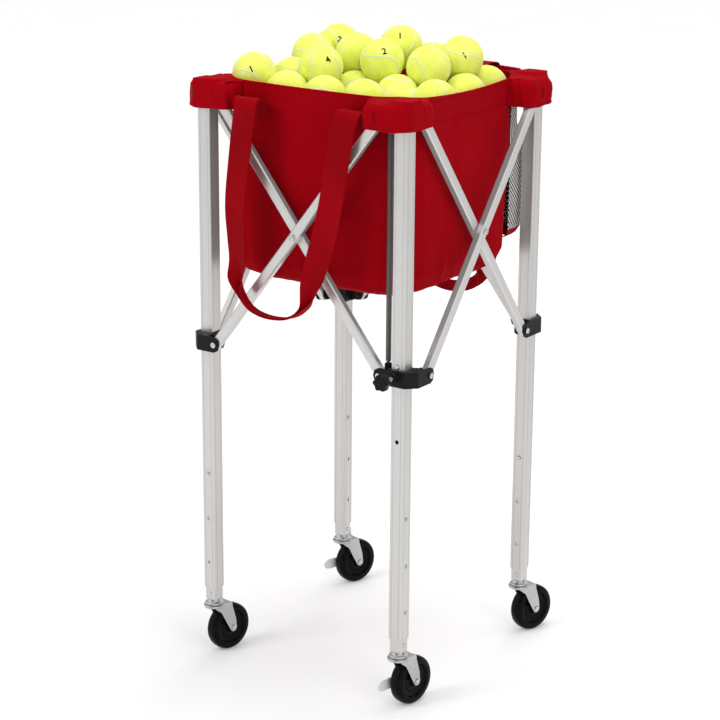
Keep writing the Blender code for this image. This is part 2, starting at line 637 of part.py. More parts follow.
def bag_half(z):
    """The bag's half width at height z."""
    for (z0, h0), (z1, h1) in zip(BAG_PROFILE, BAG_PROFILE[1:]):
        if z <= z1:
            return h0 + (h1 - h0) * (z - z0) / (z1 - z0)
    return BAG_TOP_HALF


def loft(rings):
    """Rings of points, each a list of 3-D points of equal count, joined and capped at both ends."""
    bm = bmesh.new()
    made = [[bm.verts.new(p) for p in ring] for ring in rings]
    count = len(rings[0])
    for a, b in zip(made, made[1:]):
        for i in range(count):
            j = (i + 1) % count
            bm.faces.new((a[i], a[j], b[j], b[i]))
    bm.faces.new(made[0])
    bm.faces.new(made[-1])
    return to_mesh(bm, "loft")


def bag_ring(half, z, steps=BAG_STEPS):
    return [(x, y, z) for x, y in rounded_rect(half, half, min(BAG_CORNER, half * 0.6), steps)]


def make_bag():
    outer = [bag_ring(h, z) for z, h in BAG_PROFILE]
    inner = [bag_ring(bag_half(BAG_BOTTOM_Z + BAG_WALL) - BAG_WALL, BAG_BOTTOM_Z + BAG_WALL)]
    inner += [bag_ring(h - BAG_WALL, z) for z, h in BAG_PROFILE[1:]]
    add("bag", loft(outer + inner[::-1]), RED_FABRIC)


def pocket_outline(inset):
    """The corner pocket's plan, its outer corner slanted like the bracket's; inset moves its sides in."""
    n, p, reach = POCKET_N - inset, POCKET_P - inset, POCKET_REACH - inset
    slant = POCKET_CUT - inset * math.sqrt(2)
    return [(-reach, -p), (slant - p, -p), (n, n - slant), (n, reach), (-POCKET_INNER, reach),
            (-reach, POCKET_INNER)]


def make_pockets():
    half = BAG_TOP_HALF + FIT
    bag_plan = [(x - LEG_AXIS, y + LEG_AXIS) for x, y in rounded_rect(half, half, BAG_CORNER, BAG_STEPS)]
    cap = prism(pocket_outline(0), POCKET_LOW, POCKET_TOP)
    hollow = prism(pocket_outline(POCKET_WALL), POCKET_LOW - SWEEP, POCKET_TOP - POCKET_WALL)
    cap = cut(cap, hollow, prism(bag_plan, POCKET_LOW - SWEEP, POCKET_TOP + SWEEP))
    for k, name in enumerate(CORNERS):
        add("pocket_" + name, cap.copy(), RED_FABRIC, corner_matrix(k))


def ribbon(path, width, low, high):
    """A flat band of the given width along an open path on the XZ plane, between two Y values."""
    left, right = [], []
    for i, p in enumerate(path):
        a = Vector(path[max(i - 1, 0)])
        b = Vector(path[min(i + 1, len(path) - 1)])
        way = (b - a).normalized()
        side = Vector((-way.y, way.x)) * width / 2
        left.append(Vector(p) + side)
        right.append(Vector(p) - side)
    bm = bmesh.new()
    rows = [[bm.verts.new((p.x, y, p.y)) for p in line] for line in (left, right) for y in (low, high)]
    for a, b in ((0, 1), (2, 3), (0, 2), (1, 3)):
        for i in range(len(path) - 1):
            bm.faces.new((rows[a][i], rows[a][i + 1], rows[b][i + 1], rows[b][i]))
    for i in (0, len(path) - 1):
        bm.faces.new((rows[0][i], rows[1][i], rows[3][i], rows[2][i]))
    return to_mesh(bm, "ribbon")


def strap_path(left, right, top, bottom, lean):
    """Down from the left end, round the bottom and up to the right end."""
    points = []
    depth = (right - left) / 2
    for i in range(5):
        points.append((left + lean * i / 4, top + (bottom + depth - top) * i / 4))
    middle = (left + right) / 2
    for i in range(1, 12):
        a = math.pi + math.pi * i / 12
        x = middle + depth * math.cos(a) + lean * (1 - i / 12)
        points.append((x, bottom + depth + depth * math.sin(a)))
    for i in range(5):
        points.append((right, bottom + depth + (top - bottom - depth) * i / 4))
    return points


def strap_mesh(y, top, bottom, left, right, lean):
    """A hanging loop of webbing on the plane at y, with a tab from each end to the bag's wall."""
    way = -1 if y < 0 else 1
    body = ribbon(strap_path(left, right, top, bottom, lean), STRAP_W, *sorted((y, y + way * STRAP_T)))
    wall = way * (bag_half(top + STRAP_T / 2) + FIT)
    tabs = []
    for x in (left, right):
        a, b = sorted((wall, y + way * STRAP_T / 2))
        points = [(x - STRAP_W / 2, a), (x + STRAP_W / 2, a), (x + STRAP_W / 2, b), (x - STRAP_W / 2, b)]
        tabs.append(prism(points, top - STRAP_T / 2, top + STRAP_T / 2))
    return fuse(body, *tabs)


def make_straps():
    add("strap_front", strap_mesh(**FRONT_STRAP), RED_FABRIC)
    add("strap_back", strap_mesh(**BACK_STRAP), RED_FABRIC)


def make_mesh_pocket():
    """An open pocket on the bag's back: flat behind the struts, with its mouth held out above them."""

    def ring(z, left, right, front, inset):
        back = BAG_TOP_HALF + FIT + inset
        x0, x1, y1 = left + inset, right - inset, front - inset
        r = min(NET_ROUND, (y1 - back) * 0.4)
        plan = rounded_rect((x1 - x0) / 2, (y1 - back) / 2, r, 2, ((x0 + x1) / 2, (back + y1) / 2))
        return [(x, y, z) for x, y in plan]

    outer = [ring(*row, 0) for row in NET_ROWS]
    inner = [ring(*row, NET_WALL) for row in NET_ROWS[1:]]
    add("mesh_pocket", loft(outer + inner[::-1]), DARK_MESH)


def heap_height(radius):
    """The height of the heap's ball centres at a distance from the cart's middle."""
    return HEAP_EDGE_Z + HEAP_RISE * max(1 - (radius / HEAP_RADIUS) ** 2, -0.2)


def ball_places():
    """Balls in the heap's top: a staggered grid, higher to the middle, each with a little scatter."""
    random.seed(7)
    places = []
    step = 2 * BALL_R * 1.01
    for row in range(-HEAP_ROWS, HEAP_ROWS + 1):
        count = 3 if row % 2 else 4
        for col in range(count):
            x = (col - (count - 1) / 2) * step
            y = row * step * 0.88
            places.append((x, y, heap_height(math.hypot(x, y)) + random.uniform(-HEAP_SCATTER, HEAP_SCATTER)))
    return places


def make_balls():
    gap = BAG_WALL + 0.0012
    low = BAG_BOTTOM_Z + BAG_WALL + FIT
    core = [bag_ring(bag_half(low) - gap - HEAP_FOOT, low, 3)]
    heights = [z for z, _ in BAG_PROFILE[1:-1]] + [HEAP_EDGE_Z - 0.020]
    for z in heights:
        core.append(bag_ring(bag_half(z) - gap, z, 3))
    for half in HEAP_RINGS:
        core.append(bag_ring(half, heap_height(half) - BALL_R * 0.4, 3))
    heap = loft(core)
    balls = []
    for place in ball_places():
        bm = bmesh.new()
        bmesh.ops.create_icosphere(bm, subdivisions=2, radius=BALL_R, matrix=Matrix.Translation(place))
        mesh = bpy.data.meshes.new("ball")
        bm.to_mesh(mesh)
        bm.free()
        balls.append(mesh)
    add("ball_load", fuse(heap, *balls), FELT)


def main():
    clear_scene()
    make_legs()
    make_brackets()
    make_struts()
    make_spring()
    make_knob()
    make_casters()
    make_bag()
    make_pockets()
    make_straps()
    make_mesh_pocket()
    make_balls()


main()
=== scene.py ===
"""Visual model of the tennis ball cart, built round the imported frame. Metres, +Z up."""
import random
from math import ceil, copysign, cos, exp, hypot, pi, radians, sin, sqrt

import bmesh
import bpy
import numpy as np
from mathutils import Matrix, Vector, noise


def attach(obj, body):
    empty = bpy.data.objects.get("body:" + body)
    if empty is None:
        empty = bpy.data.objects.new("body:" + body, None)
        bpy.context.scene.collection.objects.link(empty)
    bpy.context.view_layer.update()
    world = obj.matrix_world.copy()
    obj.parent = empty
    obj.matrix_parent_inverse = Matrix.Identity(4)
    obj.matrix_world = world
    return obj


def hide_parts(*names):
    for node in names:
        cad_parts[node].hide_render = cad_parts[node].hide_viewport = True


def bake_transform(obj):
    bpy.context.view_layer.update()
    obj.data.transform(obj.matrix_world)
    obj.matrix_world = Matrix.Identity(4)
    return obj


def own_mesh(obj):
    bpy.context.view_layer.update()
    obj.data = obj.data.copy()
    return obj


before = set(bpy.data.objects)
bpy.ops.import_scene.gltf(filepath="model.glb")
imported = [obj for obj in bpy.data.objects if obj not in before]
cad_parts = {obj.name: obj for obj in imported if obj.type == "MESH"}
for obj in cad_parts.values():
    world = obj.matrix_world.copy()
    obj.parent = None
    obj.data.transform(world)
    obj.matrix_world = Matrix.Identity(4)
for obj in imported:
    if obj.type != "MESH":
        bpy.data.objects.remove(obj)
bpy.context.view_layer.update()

CORNERS = ("front_right", "back_right", "back_left", "front_left")
SIDES = ("front", "right", "back", "left")
FULL_TURN = 2 * pi

# Frame sizes
LEG_AXIS = 0.175
LEG_TOP = 0.914
OUTER_HALF = 0.01125
INNER_HALF = 0.00975
PIVOT_IN = 0.029
TOP_PIVOT_Z = 0.888
SLIDER_PIVOT_Z = 0.518
KNOB_Z = 0.521
FOOT_RIVET_Z = 0.1025
LAYER_INNER = 0.0093
LAYER_OUTER = 0.0218
STRUT_DEPTH = 0.012
GROOVE = 0.0064
GROOVE_HALF = 0.0003
PLATE_INNER = 0.0176
PLATE_OUTER = 0.0301
RIVET_HEAD = 0.0046
BUTTON_TURN = (0, 180, 180, 0)

# Caster sizes
WHEEL_R = 0.0377
TRAIL = 0.028
HEADINGS = (81.9, 73.2, 74.6, 79.4)
WHEEL_Z = WHEEL_R * cos(pi / 20)
FORK_IN = 0.0122
FORK_OUT = 0.014
BRAKED = (0, 2)

# Bag sizes
RIM_Z = 0.914
SEAM_Z = 0.876
BAG_PROFILE = (
    (0.62, 0.14), (0.628, 0.154), (0.649, 0.1615), (0.714, 0.1635), (0.804, 0.165), (0.914, 0.1665))
BAG_LOW = 0.62
BAG_CORNER = 0.06
RIM_SAG = (0.0015, 0.0085, 0.004, 0.004)
CORNER_LIFT = (0, 0, 0, 0.003)
CLOTH = 0.0014
# the net's holes: their distance along a row, and the distance of every second row
NET_PITCH, NET_STEP = 0.007, 0.0076
STRAP_W = 0.041

# Ball sizes
BALL_R = 0.033
SEAM_A, SEAM_B = 0.74, 0.26
SEAM_W = 0.0028

# The photograph's camera
CAMERA_AT = Vector((1.79293, -2.61192, 1.3919))
CAMERA_FORWARD = Vector((-0.54816, 0.7887, -0.27832))
CAMERA_RIGHT = Vector((0.82005, 0.57226, 0.00654))
CAMERA_UP = CAMERA_RIGHT.cross(CAMERA_FORWARD)
CAMERA_LENS = 106.44
FILM = 36
PHOTO_SIZE = 720
PHOTO_CENTRE = (358.68, 358.58)

# How much the floor glows near the cart and far from it, and how bright the walls are to diffuse rays
FLOOR_GLOW, FLOOR_GLOW_FAR = 0.2, 0.52
WORLD_SOFT = 0.54


def mm(*rows, columns=3):
    """Rows of millimetres as metres; any columns after the given number stay as they are."""
    return [tuple(v / 1000 for v in row[:columns]) + tuple(row[columns:]) for row in rows]


# Materials


def tint(colour, share, more=0.0):
    return tuple(c * share + more for c in colour)


class Value:
    """A node's output to calculate with: each operation adds a node to its tree."""

    def __init__(self, nodes, socket):
        self.nodes = nodes
        self.socket = socket

    def then(self, operation, *others):
        return self.nodes.math(operation, self, *others)

    def __add__(self, other):
        return self.then("ADD", other)

    def __sub__(self, other):
        return self.then("SUBTRACT", other)

    def __mul__(self, other):
        return self.then("MULTIPLY", other)

    def __abs__(self):
        return self.then("ABSOLUTE")

    def __lt__(self, other):
        return self.then("LESS_THAN", other)

    def __gt__(self, other):
        return self.then("GREATER_THAN", other)


class Nodes:
    """A node tree with short ways to add nodes to it."""

    def __init__(self, tree, where):
        self.tree = tree
        self.where = self.node("TexCoord").outputs[where]

    def set(self, node, socket, value):
        value = getattr(value, "socket", value)
        entry = node.inputs[socket]
        if isinstance(value, bpy.types.NodeSocket):
            self.tree.links.new(value, entry)
        else:
            entry.default_value = (*value, 1) if entry.type == "RGBA" else value

    def node(self, kind, *values, **named):
        """A new node with its inputs set in order or by name, and its properties by texts."""
        made = self.tree.nodes.new("ShaderNode" + kind)
        for socket, value in enumerate(values):
            self.set(made, socket, value)
        for key, value in named.items():
            if isinstance(value, str):
                setattr(made, key, value)
            else:
                self.set(made, key.replace("_", " "), value)
        return made

    def math(self, operation, *values):
        return Value(self, self.node("Math", *values, operation=operation).outputs[0])

    def split(self, vector):
        return [Value(self, part) for part in self.node("SeparateXYZ", vector).outputs]

    def tape(self):
        """The distances along and across the cloth."""
        return self.split(self.node("UVMap", uv_map="tape").outputs[0])[:2]

    def ray(self, kind):
        """1 for a ray of that kind and 0 for any other."""
        return Value(self, self.node("LightPath").outputs["Is %s Ray" % kind])

    def noise(self, scale, detail=3.0, rough=0.5, stretch=None):
        where = self.node("Mapping", self.where, Scale=stretch).outputs[0] if stretch else self.where
        made = self.node("TexNoise", Vector=where, Scale=scale, Detail=detail, Roughness=rough)
        return Value(self, made.outputs["Fac"])

    def ramp(self, value, *stops):
        """A colour for the value, from stops of a place and a colour or grey."""
        made = self.node("ValToRGB", value)
        elements = made.color_ramp.elements
        while len(elements) < len(stops):
            elements.new(0.5)
        for element, (place, colour) in zip(elements, stops):
            element.position = place
            element.color = (*colour, 1) if hasattr(colour, "__len__") else (colour, colour, colour, 1)
        return made.outputs["Color"]

    def blended(self, share, a, b):
        made = self.node("Mix", share, data_type="RGBA")
        self.set(made, 6, a)
        self.set(made, 7, b)
        return made.outputs[2]

    def bump(self, height, strength, distance, under=None):
        made = self.node("Bump", Strength=strength, Distance=distance, Height=height)
        if under is not None:
            self.set(made, "Normal", under)
        return made.outputs["Normal"]

    def edges(self, radius):
        """Rounded edges, by shading alone."""
        return self.node("Bevel", radius).outputs["Normal"]


class Look(Nodes):
    """A material's nodes and its Principled shader."""

    def __init__(self, name, colour, rough, metal=0.0):
        self.material = bpy.data.materials.new(name)
        self.material.use_nodes = True
        super().__init__(self.material.node_tree, "Object")
        self.finish(Base_Color=colour, Roughness=rough, Metallic=metal)

    def finish(self, **values):
        for key, value in values.items():
            self.set(self.tree.nodes["Principled BSDF"], key.replace("_", " "), value)
        return self.material


def aluminium(name, stretch, colour=(0.75, 0.735, 0.715), rough=0.32, edge=0.0012, grooves=False, metal=0.82):
    """Satin anodised extrusion: faint drawn lines, slight clouding, a few rubbed marks, and edge grooves sunk
    by bump and painted darker as shade.
    """
    look = Look(name, colour, rough, metal)
    lines = look.noise(1.0, 4.0, stretch=stretch)
    shade = look.ramp(lines * 0.55 + look.noise(5.0) * 0.45, (0.35, tint(colour, 0.95)), (0.65, colour))
    dull = look.ramp(look.noise(70.0, 5.0, 0.7), (0.4, rough), (0.8, rough + 0.05))
    bump = look.bump(lines, 0.04, 0.0001, look.edges(edge))
    if grooves:
        cut = groove_shade_mask(look)
        # painted shade: the grooves darkened to 0.58 of the metal's colour
        shade = look.blended(cut, shade, tint(colour, 0.58))
        bump = look.bump(cut * -1.0, 0.5, 0.0003, bump)
    return look.finish(Base_Color=shade, Roughness=dull, Normal=bump)


def groove_shade_mask(look):
    """The tube's shallow lengthwise grooves, two on each face at GROOVE from its middle, which are both sunk
    and painted dark as shade.
    """
    x, y = (abs(abs(abs(part) - LEG_AXIS) - GROOVE) < GROOVE_HALF for part in look.split(look.where)[:2])
    return x.then("MAXIMUM", y)


def chrome(name, colour=(0.62, 0.62, 0.62), rough=0.17):
    """Plated steel with smears and fine pits."""
    look = Look(name, colour, rough, 1.0)
    smear = look.noise(45.0, 4.0, 0.65)
    dull = look.ramp(smear, (0.3, rough - 0.03), (0.8, rough + 0.1))
    shade = look.ramp(smear, (0.2, tint(colour, 0.93)), (0.7, colour))
    bump = look.bump(look.noise(500.0, 2.0), 0.06, 0.0001, look.edges(0.0006))
    return look.finish(Base_Color=shade, Roughness=dull, Normal=bump)


def moulded(name, colour, rough, grain=0.12, edge=0.0008, shine=0.15):
    """Injection-moulded plastic: fine grain, slightly rounded edges, faint scuffs."""
    look = Look(name, colour, rough)
    scuff = look.noise(110.0, 6.0, 0.75)
    dull = look.ramp(scuff, (0.35, rough - 0.04), (0.75, rough + 0.12))
    shade = look.ramp(scuff, (0.4, colour), (0.85, tint(colour, 1.5, 0.004)))
    bump = look.bump(look.noise(1400.0, 2.0), grain, 0.0002, look.edges(edge))
    return look.finish(Base_Color=shade, Roughness=dull, Normal=bump, Specular_IOR_Level=shine)


def waves(value, period):
    return (value * (FULL_TURN / period)).then("SINE")


def canvas(name, colour, period=0.0009):
    """Plain-weave polyester: warp and weft as two crossed waves, soft clouding and slubs."""
    look = Look(name, colour, 0.9)
    x, y, z = look.split(look.where)
    weave = waves(x + y, period) * waves(z + y * 0.2, period)
    slub = look.noise(1.0, stretch=(900, 900, 60))
    shade = look.ramp(look.noise(7.0, 4.0) * 0.6 + slub * 0.4, (0.3, tint(colour, 0.84)), (0.55, colour),
                      (0.75, tint(colour, 1.1, 0.002)))
    # painted reflection: glossy rays see the cloth as dark grey, so the metal mirrors grey in place of red
    shade = look.blended(look.ray("Glossy"), shade, (0.2, 0.19, 0.19))
    soft = look.noise(26.0, 4.0, stretch=(1.0, 1.0, 0.7))
    bump = look.bump(weave, 0.35, 0.00025, look.bump(soft, 0.6, 0.0035))
    return look.finish(Base_Color=shade, Normal=bump, Sheen_Weight=0.04, Sheen_Roughness=0.5,
                       Sheen_Tint=(1.0, 0.08, 0.1), Specular_IOR_Level=0.04)


def webbing(name, colour, period=0.0024, selvedge=0.0185):
    """Heavy woven tape, from its own length and width: cross ribs, lengthwise rows and thick selvedges."""
    look = Look(name, colour, 0.75)
    length, width = look.tape()
    weave = waves(length, period) * (waves(width, period) * 0.3 + 0.7)
    shade = look.ramp(weave * 0.2 + look.noise(12.0, 4.0), (0.3, tint(colour, 0.7)), (0.7, colour))
    bump = look.bump(weave * 0.4 + (abs(width) > selvedge) * 0.8, 0.7, 0.0005)
    return look.finish(Base_Color=shade, Normal=bump, Sheen_Weight=0.04, Sheen_Roughness=0.4,
                       Sheen_Tint=(1.0, 0.08, 0.1), Specular_IOR_Level=0.05)


def netting(name):
    """Knitted mesh: pale threads round rows of oval holes, painted near-black as the shade inside the pocket
    behind them.
    """
    look = Look(name, (0.82, 0.81, 0.8), 0.6)
    run, rise = look.tape()
    across, up = run * (FULL_TURN / NET_PITCH), rise * (FULL_TURN / NET_STEP)
    first, second = ((across + turn).then("COSINE") + (up + turn).then("COSINE") for turn in (0.0, pi))
    holes = first.then("MAXIMUM", second)
    fuzz = (look.noise(700.0) - 0.5) * 0.5
    # painted shade: the holes near-black for the dark inside the pocket
    shade = look.ramp((holes + fuzz + 2.0) * 0.25, (0.62, (0.86, 0.85, 0.84)), (0.7, (0.004, 0.003, 0.003)))
    bump = look.bump(holes * -1.0, 0.8, 0.0006)
    return look.finish(Base_Color=shade, Normal=bump, Specular_IOR_Level=0.2)


def felt(name):
    """Tennis felt: a mottled yellow-green nap, paler where the fuzz stands up."""
    look = Look(name, (0.84, 0.9, 0.15), 0.95)
    nap = look.noise(420.0, 5.0, 0.75)
    shade = look.ramp(nap * 0.6 + look.noise(60.0) * 0.4, (0.3, (0.72, 0.82, 0.075)),
                      (0.52, (0.87, 0.92, 0.17)), (0.72, (0.95, 0.97, 0.32)))
    bump = look.bump(look.noise(1500.0, 3.0, 0.8), 0.5, 0.0008, look.bump(nap, 0.5, 0.0012))
    return look.finish(Base_Color=shade, Normal=bump, Sheen_Weight=0.3, Sheen_Roughness=0.55,
                       Sheen_Tint=(0.95, 1.0, 0.55), Specular_IOR_Level=0.05)


def plain_dull(name, colour, rough=0.85, grain=300.0, shine=0.5):
    look = Look(name, colour, rough)
    value = look.noise(grain, 4.0)
    shade = look.ramp(value, (0.3, tint(colour, 0.85)), (0.7, colour))
    return look.finish(Base_Color=shade, Normal=look.bump(value, 0.3, 0.0003), Specular_IOR_Level=shine)


RED = (0.335, 0.0006, 0.005)
DRAWN = (900, 900, 6)
BRUSHED = (260, 260, 260)
looks = {
    "tube": aluminium("tube_aluminium", DRAWN, grooves=True),
    "inner": aluminium("inner_tube_aluminium", DRAWN, (0.74, 0.725, 0.705), 0.34),
    "strut": aluminium("strut_aluminium", BRUSHED, (0.76, 0.75, 0.735), 0.28),
    "tab": aluminium("brake_tab_metal", BRUSHED, (0.92, 0.92, 0.91), 0.55, 0.0006, metal=0.25),
    "chrome": chrome("caster_chrome"),
    "rivet": chrome("rivet_metal", (0.74, 0.74, 0.74), 0.24),
    "spring": chrome("spring_wire", (0.26, 0.255, 0.25), 0.3),
    "plastic": moulded("black_plastic", (0.0065, 0.0065, 0.007), 0.36),
    "wheel": moulded("wheel_plastic", (0.0012, 0.0012, 0.0014), 0.14, 0.03, 0.0004, 0.1),
    "red": canvas("red_canvas", RED),
    "tape": webbing("red_webbing", tint(RED, 0.95)),
    "thread": plain_dull("red_thread", (0.26, 0.002, 0.006), 0.8, 900.0, 0.06),
    "net": netting("mesh_net"),
    "felt": felt("ball_felt"),
    "seam": plain_dull("seam_rubber", (0.8, 0.84, 0.58), 0.7),
    "ink": plain_dull("black_ink", (0.012, 0.012, 0.01), 0.8),
}


# Shapes

# the angles over which an edge stays sharp: on small parts, on metal and plastic, on cloth and low domes, and
# on round cords
FINE_EDGE, HARD_EDGE, SOFT_EDGE, CORD_EDGE = 35.0, 50.0, 60.0, 80.0


def smoothed(item, angle):
    item.data.shade_smooth()
    item.data.set_sharp_from_angle(angle=radians(angle))


def linked(name, data):
    item = bpy.data.objects.new(name, data)
    bpy.context.scene.collection.objects.link(item)
    return item


def make(name, bm, look, angle):
    """A piece with the mesh, smooth but for edges sharper than the angle, or flat where it is None."""
    bmesh.ops.recalc_face_normals(bm, faces=bm.faces)
    mesh = bpy.data.meshes.new(name)
    bm.to_mesh(mesh)
    bm.free()
    item = linked(name, mesh)
    mesh.materials.append(looks[look])
    if angle:
        smoothed(item, angle)
    return item


def add(name, bm, look, body, *nodes, angle=HARD_EDGE, bevel=0.0):
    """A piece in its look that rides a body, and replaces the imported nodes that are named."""
    item = make(name, bm, look, angle)
    if bevel:
        bevelled(item, bevel)
    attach(item, body)
    if nodes:
        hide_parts(*nodes)
    return item


def baked(item):
    """The piece's mesh as its modifiers or its text leave it."""
    bpy.context.view_layer.update()
    return bpy.data.meshes.new_from_object(item.evaluated_get(bpy.context.evaluated_depsgraph_get()))


def bevelled(item, width):
    """The piece's sharp edges rounded for good."""
    mod = item.modifiers.new("round", "BEVEL")
    mod.width = width
    mod.segments = 2
    mod.limit_method = "ANGLE"
    mod.angle_limit = radians(30)
    mesh = baked(item)
    item.modifiers.clear()
    item.data = mesh
    smoothed(item, HARD_EDGE)


def around(steps):
    """Places at even steps round a circle of radius 1."""
    return [(cos(FULL_TURN * i / steps), sin(FULL_TURN * i / steps)) for i in range(steps)]


def skin(bm, rings, capped=True):
    """Faces between neighbouring rings, any of which may be a single point, and over both ends."""
    faces = []
    for a, b in zip(rings, rings[1:]):
        steps = max(len(a), len(b))
        for i in range(steps if steps > 1 else 0):
            corners = (a[i % len(a)], a[(i + 1) % len(a)], b[(i + 1) % len(b)], b[i % len(b)])
            faces.append(bm.faces.new(list(dict.fromkeys(corners))))
    if capped:
        faces += [bm.faces.new(rings[0][::-1]), bm.faces.new(rings[-1])]
    return faces


def turned(profile, steps, matrix):
    """A closed or pole-ended profile of (radius, height) turned round +Z, put in place by matrix."""
    bm = bmesh.new()
    rings = []
    for radius, height in profile:
        places = around(steps) if radius else [(0, 0)]
        rings.append([bm.verts.new(matrix @ Vector((radius * x, radius * y, height))) for x, y in places])
    skin(bm, rings + rings[:1], False)
    return bm


def prism(bm, points, low, high, matrix):
    """An outline on the XZ plane, extruded along Y from low to high, put in place by matrix."""
    skin(bm, [[bm.verts.new(matrix @ Vector((x, y, z))) for x, z in points] for y in (low, high)])


def neighbours(line, i):
    return line[max(i - 1, 0)], line[min(i + 1, len(line) - 1)]


def tube_along(bm, line, radius, sides):
    """A round tube along a line of points, with a frame carried along it."""
    line = [Vector(p) for p in line]
    rings, side = [], None
    for i, at in enumerate(line):
        before, after = neighbours(line, i)
        way = (after - before).normalized()
        if side is None:
            side = way.orthogonal()
        side = (side - way * side.dot(way)).normalized()
        other = way.cross(side)
        section = [at + side * (radius * x) + other * (radius * y) for x, y in around(sides)]
        rings.append([bm.verts.new(p) for p in section])
    skin(bm, rings)
    return bm


def shell(grid, thickness, uv=None):
    """Cloth: a grid of points (rows x columns x 3), thickened inwards, with its rim closed."""
    grid = np.asarray(grid, float)
    rows, cols = grid.shape[:2]
    normal = np.cross(np.gradient(grid, axis=1), np.gradient(grid, axis=0))
    normal /= np.maximum(np.linalg.norm(normal, axis=2, keepdims=True), 1e-12)
    bm = bmesh.new()
    tape = bm.loops.layers.uv.new("tape") if uv is not None else None
    layers = (grid, grid - normal * thickness)
    layers = [[[bm.verts.new(p) for p in row] for row in layer] for layer in layers]

    def quad(*corners):
        """A face between corners, each a layer, row and column."""
        face = bm.faces.new([layers[n][r][c] for n, r, c in corners])
        if tape is not None:
            for loop, (_, r, c) in zip(face.loops, corners):
                loop[tape].uv = uv[r][c]

    for r in range(rows - 1):
        for c in range(cols - 1):
            cell = ((r, c), (r, c + 1), (r + 1, c + 1), (r + 1, c))
            quad(*((0, *at) for at in cell))
            quad(*((1, *at) for at in cell[::-1]))
    rim = [((r, c), (r, c + 1)) for r in (0, rows - 1) for c in range(cols - 1)]
    rim += [((r, c), (r + 1, c)) for c in (0, cols - 1) for r in range(rows - 1)]
    for one, other in rim:
        quad((0, *one), (0, *other), (1, *other), (1, *one))
    return bm


def cloth(piece, grid):
    """The steps down a cloth's grid and the cross products of its cells, worked out and not kept."""
    grid = np.asarray(grid, float)
    down = np.diff(grid, axis=0)
    one = np.cross(down[:, :-1], grid[:-1, 1:] - grid[:-1, :-1])
    other = np.cross(down[:, 1:], grid[1:, 1:] - grid[1:, :-1])


def smooth_line(points, count):
    """Evenly spaced points on a smooth curve through the given ones, and the curve's length."""
    points = np.asarray(points, float)
    ends = np.vstack([2 * points[0] - points[1], points, 2 * points[-1] - points[-2]])
    dense = []
    for i in range(1, len(ends) - 2):
        a, b, c, d = ends[i - 1:i + 3]
        for t in np.linspace(0, 1, 24, endpoint=False):
            dense.append(0.5 * (2 * b + (c - a) * t + (2 * a - 5 * b + 4 * c - d) * t ** 2
                                + (3 * b - a - 3 * c + d) * t ** 3))
    dense = np.array(dense + [points[-1]])
    walked = np.r_[0, np.cumsum(np.linalg.norm(np.diff(dense[:, :3], axis=0), axis=1))]
    even = np.linspace(0, walked[-1], count)
    return np.stack([np.interp(even, walked, column) for column in dense.T], 1), walked[-1]


def eased(t):
    """0 below 0, 1 above 1 and a smooth step between."""
    t = max(0.0, min(1.0, t))
    return t * t * (3 - 2 * t)


def moved(x=0.0, y=0.0, z=0.0):
    return Matrix.Translation((x, y, z))


def spun(angle, axis="Z"):
    return Matrix.Rotation(angle, 4, axis)


def side_matrix(k, y, z):
    return spun(k * pi / 2) @ moved(0, y, z)


def corner_matrix(k, x=0.0, y=0.0, z=0.0, heading=0.0):
    return spun(k * pi / 2) @ moved(LEG_AXIS + x, -LEG_AXIS + y, z) @ spun(heading)


# +Z of a turned piece to -Y, +Y and +X
FACING = spun(pi / 2, "X")
BACKING = FACING.inverted()
SIDEWAYS = spun(pi / 2, "Y")


# Frame


FINISHES = (
    ("leg_outer", "tube"), ("leg_inner", "inner"), ("strut_", "strut"), ("snap_button", "rivet"),
    ("slider", "plastic"), ("top_bracket", "plastic"), ("clamp_screw", "chrome"), ("stop_rivet", "rivet"),
    ("brake_lever", "tab"))


def dress_frame():
    """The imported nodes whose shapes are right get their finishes."""
    for name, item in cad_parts.items():
        for start, look in FINISHES:
            if name.startswith(start):
                item.data.materials.clear()
                item.data.materials.append(looks[look])


# a rivet head's dome, its drawn-in middle and its plain middle, in shares of its radius and height
DOME = ((0, 0), (1, 0), (1, 0.25), (0.93, 0.62), (0.72, 0.92), (0.48, 1))
DIMPLE = ((0.34, 0.86), (0.22, 0.6), (0, 0.55))
POLE = ((0, 1.05),)


def rivet_head(name, matrix, body, radius=RIVET_HEAD, height=0.0019, middle=DIMPLE):
    """A low dome with a rolled rim, on a flat face."""
    profile = [(radius * r, height * h) for r, h in DOME + middle]
    add(name, turned(profile, 28, matrix), "rivet", body, angle=SOFT_EDGE)


def make_rivets():
    """Bright heads over the pivots that show: sliders and strut crossings, and on the inner tubes."""
    on_plate, on_strut, cross_head = 0.0014, 0.0012, 0.0047
    for k, corner in enumerate(CORNERS):
        # a slider's inner-layer wing is along -X and its outer-layer wing along +Y
        front = corner_matrix(k, -PIVOT_IN, -PLATE_INNER - on_plate, SLIDER_PIVOT_Z) @ FACING
        rivet_head("slider_rivet_a_" + corner, front, "slider_" + corner)
        right = corner_matrix(k, PLATE_OUTER + on_plate, PIVOT_IN, SLIDER_PIVOT_Z) @ SIDEWAYS
        rivet_head("slider_rivet_b_" + corner, right, "slider_" + corner)
        foot = corner_matrix(k, 0, 0, FOOT_RIVET_Z, radians(BUTTON_TURN[k])) @ moved(INNER_HALF)
        rivet_head("inner_tube_rivet_" + corner, foot @ SIDEWAYS, "lower_leg_" + corner, 0.0032, 0.0014, POLE)
    height = (TOP_PIVOT_Z + SLIDER_PIVOT_Z) / 2
    outer = LEG_AXIS + LAYER_OUTER + STRUT_DEPTH / 2 + on_strut
    inner = LEG_AXIS + LAYER_INNER - STRUT_DEPTH / 2 - on_strut
    for k, side in enumerate(SIDES):
        for name, face, way in (("cross_rivet_", outer, FACING), ("cross_rivet_back_", inner, BACKING)):
            at = side_matrix(k, -face, height) @ way
            rivet_head(name + side, at, "strut_" + side + "_outer", cross_head)


